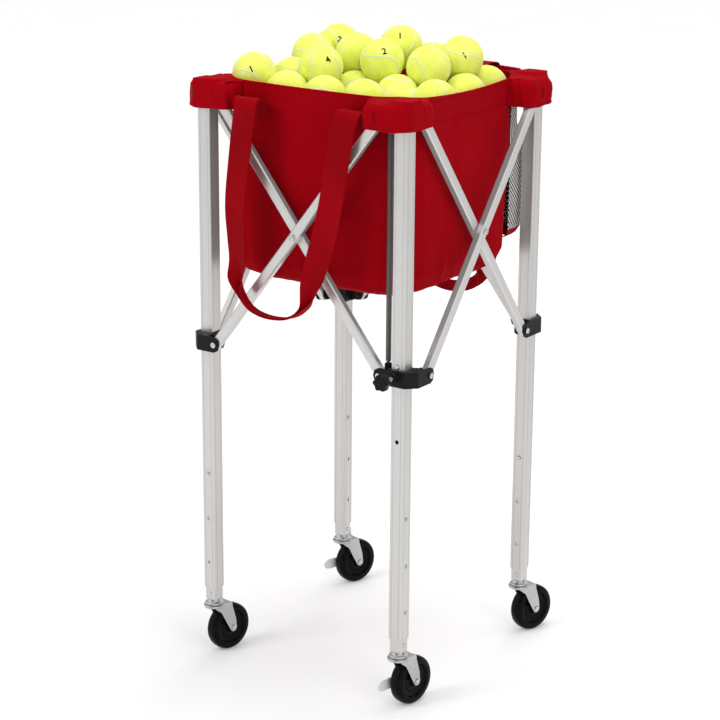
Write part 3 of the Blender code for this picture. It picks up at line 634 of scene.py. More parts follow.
def make_spring():
    """The return spring: a close coil with a hook at each end, stretched as the sliders go down."""
    x, y = LEG_AXIS - PIVOT_IN, -LEG_AXIS + 0.008
    top, low = TOP_PIVOT_Z - 0.006, SLIDER_PIVOT_Z + 0.0135
    radius, wire, hook, past, steps = 0.0036, 0.00078, 0.0022, 0.002, 10
    last = 200 * steps

    def bent(start, way, wide, z):
        angles = [pi * (start + way * i / 6) for i in range(7)]
        return [(x + wide * cos(a), y, z + hook * sin(a)) for a in angles]

    line = bent(1.5, -1, hook, top + hook)
    for i in range(last + 1):
        a = FULL_TURN * i / steps
        r = radius * (0.35 + 0.65 * min(1.0, i / steps, (last - i) / steps))
        z = top - past + (low - top + 2 * past) * i / last
        line.append((x + r * cos(a), y + r * sin(a), z))
    line += bent(0.5, 1, 0.002, low - hook)
    coil = make("return_spring", tube_along(bmesh.new(), line, wire, 5), "spring", CORD_EDGE)
    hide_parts("spring", "spring_hook")
    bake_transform(coil)
    socket = mm((0, 0), (5.2, 0), (5.6, 1), (5.6, 8.5), (4.8, 9.8), (3.4, 9.8), (3.4, 4), (0, 4))
    base = moved(x, y, SLIDER_PIVOT_Z + 0.004)
    add("spring_socket", turned(socket, 32, base), "plastic", "spring_hook", angle=FINE_EDGE)


def make_knob():
    """Star knob with six soft lobes and a domed cap with a raised ring, and the thread of its screw."""
    reach, lobe, steps = 0.0114, 0.0011, 96
    # each row's depth in mm, and its share of the knob's reach
    rows = mm(
        (0, 0.55), (1.6, 0.72), (3, 0.97), (4.2, 1), (12.5, 1), (14.5, 0.96), (15.8, 0.86), (16.2, 0.62),
        (15.4, 0.56), (15.4, 0.3), (16, 0.22), columns=1)
    bm = bmesh.new()
    rings = []
    for depth, scale in rows:
        ring = []
        for i, (x, y) in enumerate(around(steps)):
            r = reach * scale + lobe * cos(6 * FULL_TURN * i / steps) * (1 if scale > 0.9 else scale)
            ring.append(bm.verts.new((r * x, r * y, depth)))
        rings.append(ring)
    skin(bm, rings)
    bm.transform(corner_matrix(0, 0, -0.0425, KNOB_Z) @ FACING)
    add("clamp_knob", bm, "plastic", "star_knob", "star_knob")
    radius, pitch, start, turns, steps = 0.003, 0.0014, 0.028, 9, 14
    line = [(radius * x, radius * y, start + pitch * (turn + i / steps))
            for turn in range(turns) for i, (x, y) in enumerate(around(steps))]
    bm = tube_along(bmesh.new(), line, 0.00035, 5)
    bm.transform(corner_matrix(0, 0, 0, KNOB_Z) @ FACING)
    add("screw_thread", bm, "chrome", "clamp_screw", angle=CORD_EDGE)


# Casters


def make_wheel(corner, base):
    """A wheel with a hub, a sunk web and a rounded tread."""
    side = mm(
        (2.8, 10.2), (4, 11), (8, 11), (8.8, 10), (9.6, 7), (10.8, 6.2), (16, 6.2), (16.6, 7), (18, 7),
        (18.6, 6.2), (24, 6.2), (25.1, 7), (25.9, 9.8), (26.8, 10.7), (32.8, 10.7), (35, 9.6), (36.6, 7.6),
        (37.5, 4.8), (37.7, 2))
    profile = side + [(r, -h) for r, h in reversed(side)]
    add("wheel_" + corner, turned(profile, 72, base @ FACING), "wheel", "wheel_" + corner,
        "caster_wheel_" + corner, angle=40.0)


def make_axle(corner, k, base):
    """A riveted axle, longer where a brake lever hangs on it."""
    radius, end = 0.0025, FORK_OUT + 0.0003
    far = end + (0.0018 if k in BRAKED else 0.0)
    head = mm((4.2, 0), (4.2, 0.5), (3.8, 1.1), (3, 1.5), (1.8, 1.6), (1.2, 1), (0, 0.9))
    profile = [(0, -end - 0.0016)] + [(r, -end - h) for r, h in reversed(head[:5])] + [(radius, -end)]
    profile += [(radius, far)] + [(r, far + h) for r, h in head]
    add("axle_rivet_" + corner, turned(profile, 28, base @ BACKING), "rivet", "fork_" + corner,
        "caster_axle_" + corner)


def make_fork(corner, at):
    """Pressed steel fork: a domed crown with its raceway rim, a bridge and two tapering cheeks."""
    crown = mm((4.6, 77), (12.5, 77), (15.8, 78.2), (17, 80), (16.8, 81.6), (16, 82.7), (14, 83), (4.6, 83))
    cheek = mm((-9.5, 81), (-8, 77), (-3, 73))
    for t in np.linspace(0, 1, 7):
        cheek.append((0.002 + 0.0185 * t, 0.0695 - 0.0325 * t ** 1.35 - 0.0035 * sin(pi * t)))
    eye = 0.0066
    for a in np.radians(np.linspace(200, 360, 10)):
        cheek.append((TRAIL + eye * cos(a), WHEEL_Z + eye * sin(a)))
    cheek += mm((33, 52), (26.2, 74), (24.8, 82), (23, 82.8), (-8, 82.6))
    bridge = mm((8, 80.4), (23.6, 80.4), (23.6, 82.6), (8, 82.6))
    inset = FORK_OUT - 0.0004
    plates = bmesh.new()
    prism(plates, cheek, FORK_IN, FORK_OUT, at)
    prism(plates, cheek, -FORK_OUT, -FORK_IN, at)
    prism(plates, bridge, -inset, inset, at)
    body = "fork_" + corner
    add("fork_cheeks_" + corner, plates, "chrome", body, "caster_fork_" + corner, angle=FINE_EDGE,
        bevel=0.0005)
    add("fork_crown_" + corner, turned(crown, 56, at), "chrome", body)
    pip = at @ moved(-0.0166, 0, 0.0804) @ spun(-pi / 2, "Y")
    rivet_head("fork_pip_" + corner, pip, body, 0.0016, 0.0009, POLE)


def make_cup(corner, k):
    """The caster's socket under the leg: a rolled ring, a groove, a dome and the plug that fills the tube."""
    profile = mm(
        (0, 74.6), (5, 74.6), (6.2, 75.4), (6.2, 76.7), (4, 76.7), (4, 83.3), (13.6, 83.3), (14.5, 84.2),
        (14.5, 86), (13.7, 87), (11.8, 87.6), (10.4, 89), (9.8, 90.8), (9, 92), (8.1, 92.2), (8.1, 122),
        (0, 122))
    add("caster_socket_" + corner, turned(profile, 56, corner_matrix(k)), "chrome", "lower_leg_" + corner,
        "caster_cup_" + corner)


def make_casters():
    for k, corner in enumerate(CORNERS):
        at = corner_matrix(k, heading=radians(HEADINGS[k] - 90 * k))
        base = at @ moved(TRAIL, 0, WHEEL_Z)
        make_wheel(corner, base)
        make_axle(corner, k, base)
        make_fork(corner, at)
        make_cup(corner, k)


# Bag


def bag_half(z):
    """Half the bag's width at a height."""
    return float(np.interp(z, *zip(*BAG_PROFILE)))


def wander(*at):
    """Smooth seeded noise from -1 to 1."""
    return noise.noise(Vector(at) + Vector((3.7, 1.9, 8.3)))


def ruck(k, s, z):
    """How far the cloth stands off its plain shape, at s from -1 to 1 along side k and at height z."""
    down = (RIM_Z - z) / (RIM_Z - BAG_LOW)
    out = 0.0026 * (1 - s * s) * sin(pi * min(1, 0.3 + down * 0.7))
    out += 0.0026 * wander(s * 2.1 + 5 * k, z * 5.0, 0.4 * k) * (0.35 + 0.65 * down)
    out += 0.0019 * wander(s * 7.0 + 9 * k, z * 8.0, 2.0) * (0.3 + 0.7 * down)
    out -= 0.0016 * max(0.0, wander(s * 9.0 + z * 14.0 + 3 * k, z * 6.0 - s * 3.0, 5.0))
    # the legs pull short folds across the side's ends
    out += 0.0013 * exp(-((1 - abs(s)) / 0.16) ** 2) * sin(38 * z + 9 * s + k)
    # below the seat of the lowest balls the cloth hangs in short upright folds
    slack = max(0.0, min(1.0, (0.704 - z) / 0.06))
    out += 0.0028 * slack * wander(s * 11.0 + 3 * k, z * 9.0, 7.0)
    out -= 0.0022 * slack * max(0.0, wander(s * 16.0 + 7 * k, z * 4.0, 11.0))
    # the hem is stiffer and thicker, and its seam pinches the cloth
    pinch = 0.0009 * exp(-((z - SEAM_Z) / 0.0022) ** 2)
    return (out * 0.45 + 0.0007 if z > SEAM_Z else out) - pinch


def rim_point(half, s):
    """A point of the bag's rounded-square plan, on the front side, and its outward direction."""
    radius = min(BAG_CORNER, half * 0.6)
    flat = half - radius
    run = s * (flat + radius * pi / 4)
    if abs(run) <= flat:
        return Vector((run, -half, 0)), Vector((0, -1, 0))
    a = (abs(run) - flat) / radius
    way = copysign(1, run)
    out = Vector((way * sin(a), -cos(a), 0))
    return Vector((way * flat, -flat, 0)) + out * radius, out


def bag_point(k, s, z, off=0.0):
    """A point of the bag's cloth: its rim sags between the legs and its upper part with it."""
    at, out = rim_point(bag_half(z), s)
    p = at + out * (ruck(k, s, z) + off)
    sag_from = 0.664
    share = max(0.0, (z - sag_from) / (RIM_Z - sag_from)) ** 1.5
    lift = CORNER_LIFT[k - 1] * (1 - s) / 2 + CORNER_LIFT[k] * (1 + s) / 2
    p.z = z + share * (lift - RIM_SAG[k] * (1 - s * s))
    return Matrix.Rotation(k * pi / 2, 3, "Z") @ p


# the body that carries each side's cloth
SIDE_BODIES = ("leg_front_right", "leg_front_right", "leg_back_right", "leg_front_left")


def hang(name, bm, look, k, *nodes, angle=SOFT_EDGE, body=None):
    """A piece on the bag's side k, riding that side's body or the one given, with a mesh of its own."""
    item = add(name, bm, look, body or SIDE_BODIES[k], *nodes, angle=angle)
    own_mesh(item)
    return item


def make_bag_sides():
    """The bag's four sides, each with its rim's folded edge, a soft cord of cloth, and its stitches."""
    across = np.linspace(-1, 1, 81)
    heights = [BAG_LOW, 0.6225, 0.625]
    for low, high, count in ((0.628, 0.656, 8), (0.662, 0.872, 34), (0.874, 0.88, 5), (0.884, 0.911, 7)):
        heights += list(np.linspace(low, high, count))
    heights += [0.913, RIM_Z]
    for k, side in enumerate(SIDES):
        grid = [[bag_point(k, s, z) for s in across] for z in heights]
        panel = hang("bag_" + side, shell(grid, CLOTH), "red", k, "bag")
        edge = tube_along(bmesh.new(), [bag_point(k, s, RIM_Z, -0.0006) for s in across], 0.0016, 10)
        hems = [hang("bag_rim_" + side, edge, "red", k, angle=CORD_EDGE),
                hang("hem_stitches_" + side, stitches(k), "thread", k, angle=CORD_EDGE)]
        cloth(panel, grid)


def stitches(k):
    """Two rows of short stitches that hold the rim's hem."""
    bm = bmesh.new()
    count, reach = 96, 0.985
    for z in (SEAM_Z + 0.003, RIM_Z - 0.006):
        for i in range(count):
            start, end = (-reach + 2 * reach * (i + share) / count for share in (0.15, 0.75))
            ends = ((start, -0.0002), ((start + end) / 2, 0.00035), (end, -0.0002))
            tube_along(bm, [bag_point(k, s, z, off) for s, off in ends], 0.00028, 4)
    return bm


def floor_point(u, v):
    """A point of the bag's floor, u and v from -1 to 1 across it; its edge meets the sides."""
    sag, reach = 0.005, max(abs(u), abs(v))
    if reach < 1e-6:
        return Vector((0, 0, BAG_LOW - sag))
    if abs(v) >= abs(u):
        k, s = (0, u / reach) if v < 0 else (2, -u / reach)
    else:
        k, s = (1, v / reach) if u > 0 else (3, -v / reach)
    p = bag_point(k, s, BAG_LOW) * reach
    p.z = BAG_LOW - sag * (1 - reach ** 4) + 0.0012 * wander(u * 4, v * 4, 3.0) * (1 - reach)
    return p


def make_bag_floor():
    """The bag's floor in patches, each riding the front right leg."""
    cells, fine = 4, 9
    spans = [np.linspace(-1 + 2 * n / cells, -1 + 2 * (n + 1) / cells, fine) for n in range(cells)]
    for row, vs in enumerate(spans):
        for col, us in enumerate(spans):
            grid = [[floor_point(u, v) for u in us] for v in vs[::-1]]
            name = "bag_floor_%d_%d" % (row, col)
            patch = add(name, shell(grid, CLOTH), "red", "leg_front_right", angle=SOFT_EDGE)
            middle = floor_point(us[fine // 2], vs[fine // 2])
            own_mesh(patch)
            cloth(patch, grid)


# the caps' outlines round their legs: a full one, one that stops shorter along its second side, and one that
# is short on both
CAP_FULL = mm(
    (-70, 7.5), (-62, -6), (-55, -24), (-44, -31), (-25, -32.1), (-5, -32), (4, -29.2), (11.5, -22.5),
    (17.2, -14), (19.6, -3), (19.9, 15), (19.3, 36), (13.3, 48), (3, 60), (-7.8, 70))
CAP_SHORT = CAP_FULL[:11] + mm((19.7, 30), (18.4, 43), (11, 51), (-7.8, 59))
CAP_TIGHT = mm((-64, 7.5), (-60, -6), (-56, -24), (-47, -31.6)) + CAP_SHORT[4:]
CAP_OUTLINES = (CAP_FULL, CAP_TIGHT, CAP_FULL, CAP_SHORT)
CAP_LOWS = (0.8752, 0.8695, 0.8735, 0.874)
CAP_TOPS = (0.911, 0.91, 0.912, 0.9125)
CAP_FOLDS = (0.6, 1.0, 1.0, 1.8)
# the rows of a cap's band: each one's share of its height, and its distance off the outline in mm
CAP_BAND = (
    (0.03, -1.4), (0, 0), (0.05, 0.6), (0.13, 0.3), (0.25, 0.8), (0.4, 1), (0.55, 1), (0.68, 0.4),
    (0.8, -0.8), (0.9, -3), (0.97, -6), (1, -9))
# the rows of its roof: each one's share of the way to the bag's rim
CAP_ROOF = (0.06, 0.14, 0.22, 0.3, 0.38, 0.46, 0.55, 0.64, 0.73, 0.82, 0.91, 1.0)


def beside_tube(x, y):
    """How far a point lies outside the leg's square tube."""
    return max(abs(x), abs(y)) - OUTER_HALF


def over_tube(q, share):
    """The tube's end lifts the cloth that lies on it, and the band's upper edge with it."""
    lift = eased(1 - (beside_tube(q.x, q.y) - 0.0015) / 0.011) * max(0.0, (share - 0.7) / 0.3)
    q.z += max(0.0, LEG_TOP + 0.0026 - q.z) * lift
    return q


def band_point(k, outline, i, share, off):
    """A point of a cap's band, creased more towards its ends, in the leg's own place."""
    t = i / (len(outline) - 1)
    x, y = outline[i]
    (ax, ay), (bx, by) = neighbours(outline, i)
    out = Vector((by - ay, ax - bx, 0)).normalized()
    end = min(t, 1 - t)
    fade = min(1.0, end / 0.1)
    folds, low, high = CAP_FOLDS[k], CAP_LOWS[k], CAP_TOPS[k]
    crease = 0.0017 * wander(t * 9 + 4 * k, share * 3, 1.0) * folds
    crease += 0.0016 * exp(-(end / 0.16) ** 2) * sin(t * 95 + 2 * k + share * 3) * folds
    crease += 0.0012 * wander(t * 26 + 7 * k, share * 2.5, 6.0) * folds
    crease -= 0.0016 * max(0.0, wander(t * 17 + 3 * k + share * 2, share * 4, 8.0))
    inset = max(off, 0.0035 - beside_tube(x, y)) if off < 0 else off
    q = Vector((x, y, 0)) + out * ((inset + crease + 0.0006) * fade)
    q.z = low + (high - low) * share + 0.0016 * wander(t * 5 + 2 * k, 5.0, share) * fade * (1 - share)
    q.z += 0.0012 * folds * wander(t * 14 + 5 * k, 3.0, 2.0) * fade * share
    return over_tube(q, share)


def cap_rim(k, count):
    """Where a cap's roof is sewn to the bag: its rounded corner, from side k to the next."""
    flat, back = bag_half(RIM_Z) - BAG_CORNER, corner_matrix(k).inverted()
    rim = []
    for i in range(count):
        a = pi / 2 * i / (count - 1)
        side, run = k, flat + BAG_CORNER * a
        if a > pi / 4:
            side, run = (k + 1) % 4, BAG_CORNER * (a - pi / 2) - flat
        at = bag_point(side, run / (flat + BAG_CORNER * pi / 4), RIM_Z, -0.001)
        rim.append(back @ (at + Vector((0, 0, 0.0008))))
    return rim


def make_pockets():
    """A cap of cloth over each leg's top: its band, its rounded top edge and the part sewn to the bag."""
    count = 97
    for k, corner in enumerate(CORNERS):
        outline, _ = smooth_line(CAP_OUTLINES[k], count)
        rows = [[band_point(k, outline, i, share, off / 1000) for i in range(count)]
                for share, off in CAP_BAND]
        edge, rim = rows[-1], cap_rim(k, count)
        for share in CAP_ROOF:
            row = []
            for i in range(count):
                q = edge[i].lerp(rim[i], share)
                q.z += 0.0008 * CAP_FOLDS[k] * wander(i * 0.12 + 3 * k, share * 3, 4.0) * (1 - share)
                row.append(over_tube(q, 1.0))
            rows.append(row)
        turn = corner_matrix(k)
        grid = [[turn @ q for q in row] for row in rows]
        body = "leg_" + corner
        cap = add("corner_pocket_" + corner, shell(grid, CLOTH), "red", body, "pocket_" + corner,
                  angle=SOFT_EDGE)
        hem = add("pocket_stitches_" + corner, tack(turn, CAP_LOWS[k]), "thread", body, angle=CORD_EDGE)
        cloth(cap, grid)


def tack(turn, low):
    """The crossed stitches that hold a cap's band to the bag, and the band's lower row."""
    bm = bmesh.new()
    lines = [([(-0.03 + sign * 0.006 * t, 0.019 + 0.014 * t) for t in np.linspace(-0.5, 0.5, 9)], 0.00045, 5)
             for sign in (1, -1)]
    for i in range(12):
        x = -0.04 + 0.0034 * i
        lines.append(([(x + dx, 0.0042) for dx in (-0.0011, 0, 0.0011)], 0.00028, 4))
    for line, radius, sides in lines:
        tube_along(bm, [turn @ Vector((x, -0.0345, low + z)) for x, z in line], radius, sides)
    return bm


# the net pocket's height, its two ends along X, its reach from the bag and that of its right end
NET_ROWS = mm(
    (656, -82, 134, 1, 14), (662, -90, 148, 5.2, 27), (676, -94, 156, 7, 33), (724, -95, 158, 8, 35),
    (784, -95, 158, 8.6, 34), (812, -95, 158, 8.8, 24), (836, -94, 157, 8.8, 5.5), (852, -93, 157, 9.2, 5.2),
    (873, -91, 157, 20, 5), (883, -89, 112, 38, 24), (896, -88, 116, 49, 38), (908.5, -87, 150, 53, 46),
    columns=5)
NET_CORNER = 0.112


def net_point(z, s):
    """A point of the net pocket's front, s from -1 at its left end to 1; its ends come back to the bag."""
    heights, *columns = zip(*NET_ROWS)
    left, right, out, end = (float(np.interp(z, heights, column)) for column in columns)
    x = left + (right - left) * (s + 1) / 2
    reach = out + (end - out) * eased((x - NET_CORNER + 0.03) / 0.05)
    swell = (1 - abs(s) ** 22) ** 0.55
    base = 0.1672 - 0.022 * max(0.0, (x - NET_CORNER) / 0.04) ** 2 * (1 - swell)
    return Vector((x, base + 0.0004 + reach * swell + 0.001 * wander(s * 5, z * 20, 9.0) * swell, z))


def walked(grid, axis):
    """The distance along the grid's lines, from their first point to each."""
    steps = np.diff(grid, axis=axis, prepend=grid.take([0], axis))
    return np.cumsum(np.linalg.norm(steps, axis=2), axis=axis)


def make_mesh_pocket():
    """The net pocket on the back: a net held out at its mouth, a cloth base and a bound edge."""
    side = 2
    across = list(np.linspace(-1, 0.6, 49)) + list(np.linspace(0.62, 1, 25))
    grid = np.array([[net_point(z, s) for s in across] for z in np.linspace(0.672, 0.904, 60)], float)
    uv = np.dstack([walked(grid, 1), walked(grid, 0)])
    net = hang("mesh_pocket_net", shell(grid, 0.0008, uv), "net", side, "mesh_pocket")
    cloth(net, grid)
    grid = [[net_point(z, s) for s in across] for z in np.linspace(0.656, 0.673, 8)]
    cloth(hang("mesh_pocket_base", shell(grid, 0.0012), "red", side), grid)
    section = mm(
        (-6, 0.7), (-4, 1.5), (0, 1.8), (4, 1.3), (5.8, 0), (4, -1.3), (0, -1.8), (-4, -1.5), (-6, -0.7))
    grid = [[net_point(0.9055, s) + Vector((0, dy, dz)) for s in across] for dz, dy in section]
    cloth(hang("mesh_pocket_binding", shell(grid, 0.0006), "red", side), grid)


# Straps

# Each route's places along X, Y and Z in mm, the tape's twist from across X towards Y and its lengthwise
# fold, in degrees
FRONT_ROUTE = mm(
    (-90, -169.2, 866, 0, 0), (-89.5, -171.5, 878, 0, 0), (-86.5, -180, 890, 0, 0), (-82, -195, 896.5, 0, 0),
    (-78.5, -207, 895, -2, 0), (-79, -211, 874, -4, 0), (-88, -212, 812, -6, 0), (-95.5, -213, 740, -10, 0),
    (-93.5, -213.5, 694, -14, 0), (-87.5, -214.5, 656, -24, 8), (-83, -216.5, 633, -50, 40),
    (-79.5, -220, 616, -80, 74), (-70, -224.5, 604, -90, 84), (-56, -226, 593.5, -90, 84),
    (-37, -226, 587.5, -90, 84), (-14, -226, 586, -90, 84), (9, -225.5, 589, -90, 84),
    (25, -224, 596, -92, 84), (34.5, -220, 607, -104, 76), (38, -215.5, 622, -146, 44),
    (40.5, -213.5, 640, -172, 20), (46.5, -213, 660, -178, 6), (62, -212.5, 707, -180, 0),
    (75.5, -212, 762, -182, 0), (87, -211.5, 832, -181, 0), (94.5, -210.5, 873, -180, 0),
    (98.5, -206, 890.5, -180, 0), (98.5, -195, 895.5, -180, 0), (97, -180, 890, -180, 0),
    (96, -170.8, 878, -180, 0), (96, -169, 867, -180, 0))
BACK_ROUTE = mm(
    (64, 170.5, 892, 0, 0), (64, 172.5, 904, 0, 0), (64, 185, 915, 0, 0), (64.5, 208, 918, 0, 0),
    (65.5, 223.5, 912, 0, 0), (67, 227, 889, 2, 0), (72, 228, 809, 4, 0), (73, 228.5, 724, 6, 0),
    (70, 229, 654, 12, 0), (63, 229, 610, 30, 12), (56, 228, 584, 58, 40), (45, 227, 568, 84, 66),
    (25, 226.5, 558.5, 90, 70), (3, 226.5, 555.5, 90, 70), (-22, 227, 559.5, 94, 70),
    (-40, 228, 574.5, 118, 50), (-54, 229, 601, 148, 20), (-66, 229, 650, 172, 4), (-80, 228, 734, 180, 0),
    (-92, 227.5, 814, 181, 0), (-97.5, 227, 884, 180, 0), (-98.5, 223.5, 911, 180, 0),
    (-98.5, 208, 918, 180, 0), (-98.5, 185, 915, 180, 0), (-98.5, 172.5, 904, 180, 0),
    (-98.5, 170.5, 892, 180, 0))


def folded(w, fold, lay):
    """A point w across the tape when it is creased lengthwise and laid over, in its width and thickness."""
    a, b = w * cos(fold), -(hypot(w, 0.002) - 0.002) * sin(fold)
    roll = lay * min(pi / 2, fold * 1.07)
    shift = 0.01 * sin(fold) * lay
    return a * cos(roll) - b * sin(roll) - shift, a * sin(roll) + b * cos(roll)


def make_strap(name, route, side, lay):
    """Webbing along its route, whose fold is laid over by a share."""
    line, length = smooth_line(route, 150)
    rows, uv = [], []
    run = 0.0
    for i, (x, y, z, twist, fold) in enumerate(line):
        before, after = neighbours(line, i)
        way = Vector(after[:3] - before[:3]).normalized()
        if i:
            run += float(np.linalg.norm(line[i][:3] - line[i - 1][:3]))
        angle = radians(twist)
        wide = Vector((cos(angle), sin(angle), -0.1 * sin(angle)))
        wide = (wide - way * wide.dot(way)).normalized()
        out = wide.cross(way)
        rows.append([])
        uv.append([])
        for share in np.linspace(-0.5, 0.5, 13):
            w = share * STRAP_W
            cup = 0.0012 * (2 * share) ** 2 * wander(run * 14, 2.0, 5.0)
            across, rise = folded(w, radians(fold), lay)
            rows[-1].append(Vector((x, y, z)) + wide * across + out * (rise + cup))
            uv[-1].append((run, w))
    body = name.replace("webbing", "strap")
    strap = hang(name, shell(rows, 0.0017, uv), "tape", side, body, body=body)
    print("%s: %.0f mm of %.0f mm webbing" % (name, length * 1000, STRAP_W * 1000))


def make_straps():
    """The front strap hangs as photographed. The back one is of the same webbing, and hangs lower."""
    make_strap("webbing_front", FRONT_ROUTE, 0, 1.0)
    make_strap("webbing_back", BACK_ROUTE, 2, 0.15)


# Balls

# Ball centres seen in the photograph, in its pixels, each with its centre's height
SEEN = (
    (254.6, 74.2, 0.919), (293.6, 79, 0.901), (287, 92.8, 0.897), (321, 67, 0.934), (313.7, 54.5, 0.934),
    (339.2, 45, 0.947), (356.8, 54.5, 0.942), (382.2, 60.8, 0.944), (401, 46.9, 0.949), (428.5, 67.9, 0.936),
    (432.4, 64, 0.925), (461.4, 58, 0.938), (486, 87, 0.894), (464.9, 95.6, 0.89), (435, 102, 0.891),
    (401.7, 107, 0.8935), (397, 96.6, 0.897), (363.9, 101.8, 0.897), (354.9, 92.8, 0.896),
    (324.3, 98, 0.897))
# by the number in SEEN: the tilt about X, Y and Z, in degrees, of a ball that shows a seam, and a printed
# digit with its place right of and above the ball's middle and its turn
TURNS = {
    0: (70, 10, 60), 2: (80, 0, 90), 3: (35, 20, 15), 4: (60, 0, 40), 5: (25, 10, 30), 6: (100, 60, 20),
    7: (90, 20, 110), 8: (0, 40, 60), 9: (30, -10, 20), 11: (100, 15, 140), 12: (0, 0, 0), 13: (90, 20, 75),
    14: (20, 80, 10)}
DIGITS = {
    0: ("1", -0.15, 0.22, 25), 3: ("4", 0.35, 0.35, 30), 5: ("2", 0, 0.25, -20), 7: ("2", 0.1, 0.45, 15),
    8: ("1", -0.05, 0.62, 180), 11: ("1", 0.15, 0.1, 30)}
# across the seam strip: places in shares of its width, and their rise over the felt
SEAM_SECTION = ((-0.5, -0.0002), (-0.36, 0.00022), (0, 0.00034), (0.36, 0.00022), (0.5, -0.0002))
INK_OVER, INK_UNDER, DIGIT_SIZE, DIGIT_BOLD = 0.00025, 0.0003, 0.014, 0.00025


def seen_places():
    """The places and lines of sight of the balls that the photograph shows."""
    focal = CAMERA_LENS / FILM * PHOTO_SIZE
    places, rays = [], []
    for u, v, z in SEEN:
        right, down = (u - PHOTO_CENTRE[0]) / focal, (v - PHOTO_CENTRE[1]) / focal
        ray = (CAMERA_FORWARD + CAMERA_RIGHT * right - CAMERA_UP * down).normalized()
        places.append(CAMERA_AT + ray * ((z - CAMERA_AT.z) / ray.z))
        rays.append(ray)
    return np.array(places), np.array(rays)


def pack_balls():
    """All the balls: those seen stay on their lines of sight, and the rest fill the bag below and behind."""
    lowest, layer_up, highest, ground = 0.66, 0.047, 0.919, 0.6275
    rounds, sinking, sink, push, wall = 260, 200, 0.0003, 0.35, 0.0032
    rng = np.random.default_rng(11)
    seen, rays = seen_places()
    eye = np.array(CAMERA_AT)
    fixed = len(seen)
    others = []
    z, layer = lowest, 0
    while z < highest:
        reach = bag_half(z) - BALL_R - 0.003
        step = 2 * reach / 3
        shift = 0.25 * step * (1 if layer % 2 else -1)
        line = [-reach + step * i for i in range(4)]
        others += [(x + shift, y - shift, z) for x in line for y in line]
        z += layer_up
        layer += 1
    others = np.array(others) + rng.uniform(-0.002, 0.002, (len(others), 3))
    # those above the heap, or at the place of one that is seen, are left out
    near = np.linalg.norm(others[:, None] - seen[None], axis=2).min(1)
    dome = 0.893 + 0.035 * np.maximum(0, 1 - (np.linalg.norm(others[:, :2], axis=1) / 0.16) ** 2)
    hides = (others[:, 2] > 0.864) & (near < 0.045)
    others = others[~hides & (others[:, 2] < dome)]
    places = np.vstack([seen, others])
    inner = BAG_CORNER - BALL_R
    # the rest are pushed apart, off the walls and the floor, and sink a little at first
    for turn in range(rounds):
        gap = places[:, None] - places[None]
        dist = np.linalg.norm(gap, axis=2) + np.eye(len(places))
        close = np.clip(2 * BALL_R - dist, 0, None) * (1 - np.eye(len(places)))
        places += (gap / dist[..., None] * close[..., None]).sum(1) * push
        places[fixed:, 2] -= sink if turn < sinking else 0.0
        half = np.array([bag_half(min(q, RIM_Z)) for q in places[:, 2]]) - BALL_R - wall
        places[:, :2] = np.clip(places[:, :2], -half[:, None], half[:, None])
        corner = np.abs(places[:, :2]) - (half[:, None] - inner)
        over = np.linalg.norm(corner, axis=1) - inner
        for i in np.nonzero((corner > 0).all(1) & (over > 0))[0]:
            pull = corner[i] / np.linalg.norm(corner[i]) * over[i]
            places[i, :2] -= np.sign(places[i, :2]) * pull
        places[:, 2] = np.maximum(places[:, 2], ground + BALL_R)
        places[:fixed] = eye + rays * ((places[:fixed] - eye) * rays).sum(1, keepdims=True)
    return in_sight(places, fixed, eye, rays), fixed


def in_sight(places, fixed, eye, rays):
    """The balls without those that would stand before a ball that the photograph shows whole."""
    slack, width, below = 0.01, 1.5 * BALL_R, 0.88
    kept = list(places[:fixed])
    for at in places[fixed:]:
        line = at - eye
        along = line @ rays.T
        off = np.linalg.norm(line[None] - rays * along[:, None], axis=1)
        nearer = along < np.linalg.norm(places[:fixed] - eye, axis=1) - slack
        if at[2] < below or not (nearer & (off < width)).any():
            kept.append(at)
    return np.array(kept)


def seam_line(count):
    """The seam's closed curve on a unit sphere."""
    lift = 2 * sqrt(SEAM_A * SEAM_B)
    angles = [FULL_TURN * i / count for i in range(count)]
    return [Vector((SEAM_A * cos(t) + SEAM_B * cos(3 * t),
                    SEAM_A * sin(t) - SEAM_B * sin(3 * t), lift * sin(2 * t))) for t in angles]


def add_balls(name, fine, matrices, *nodes):
    """One or more balls in a piece: felt spheres, each with its raised seam strip."""
    bm = bmesh.new()
    line = seam_line(160 if fine else 56)
    for matrix in matrices:
        bmesh.ops.create_icosphere(bm, subdivisions=5 if fine else 3, radius=BALL_R, matrix=matrix)
        rings = [[] for _ in SEAM_SECTION]
        for i, p in enumerate(line):
            wide = p.cross((line[(i + 1) % len(line)] - line[i - 1]).normalized()).normalized()
            for ring, (share, rise) in zip(rings, SEAM_SECTION):
                q = (p * BALL_R + wide * SEAM_W * share).normalized() * (BALL_R + rise)
                ring.append(bm.verts.new(matrix @ q))
        for face in skin(bm, rings + rings[:1], False):
            face.material_index = 1
    item = add(name, bm, "felt", "balls", *nodes, angle=CORD_EDGE)
    item.data.materials.append(looks["seam"])


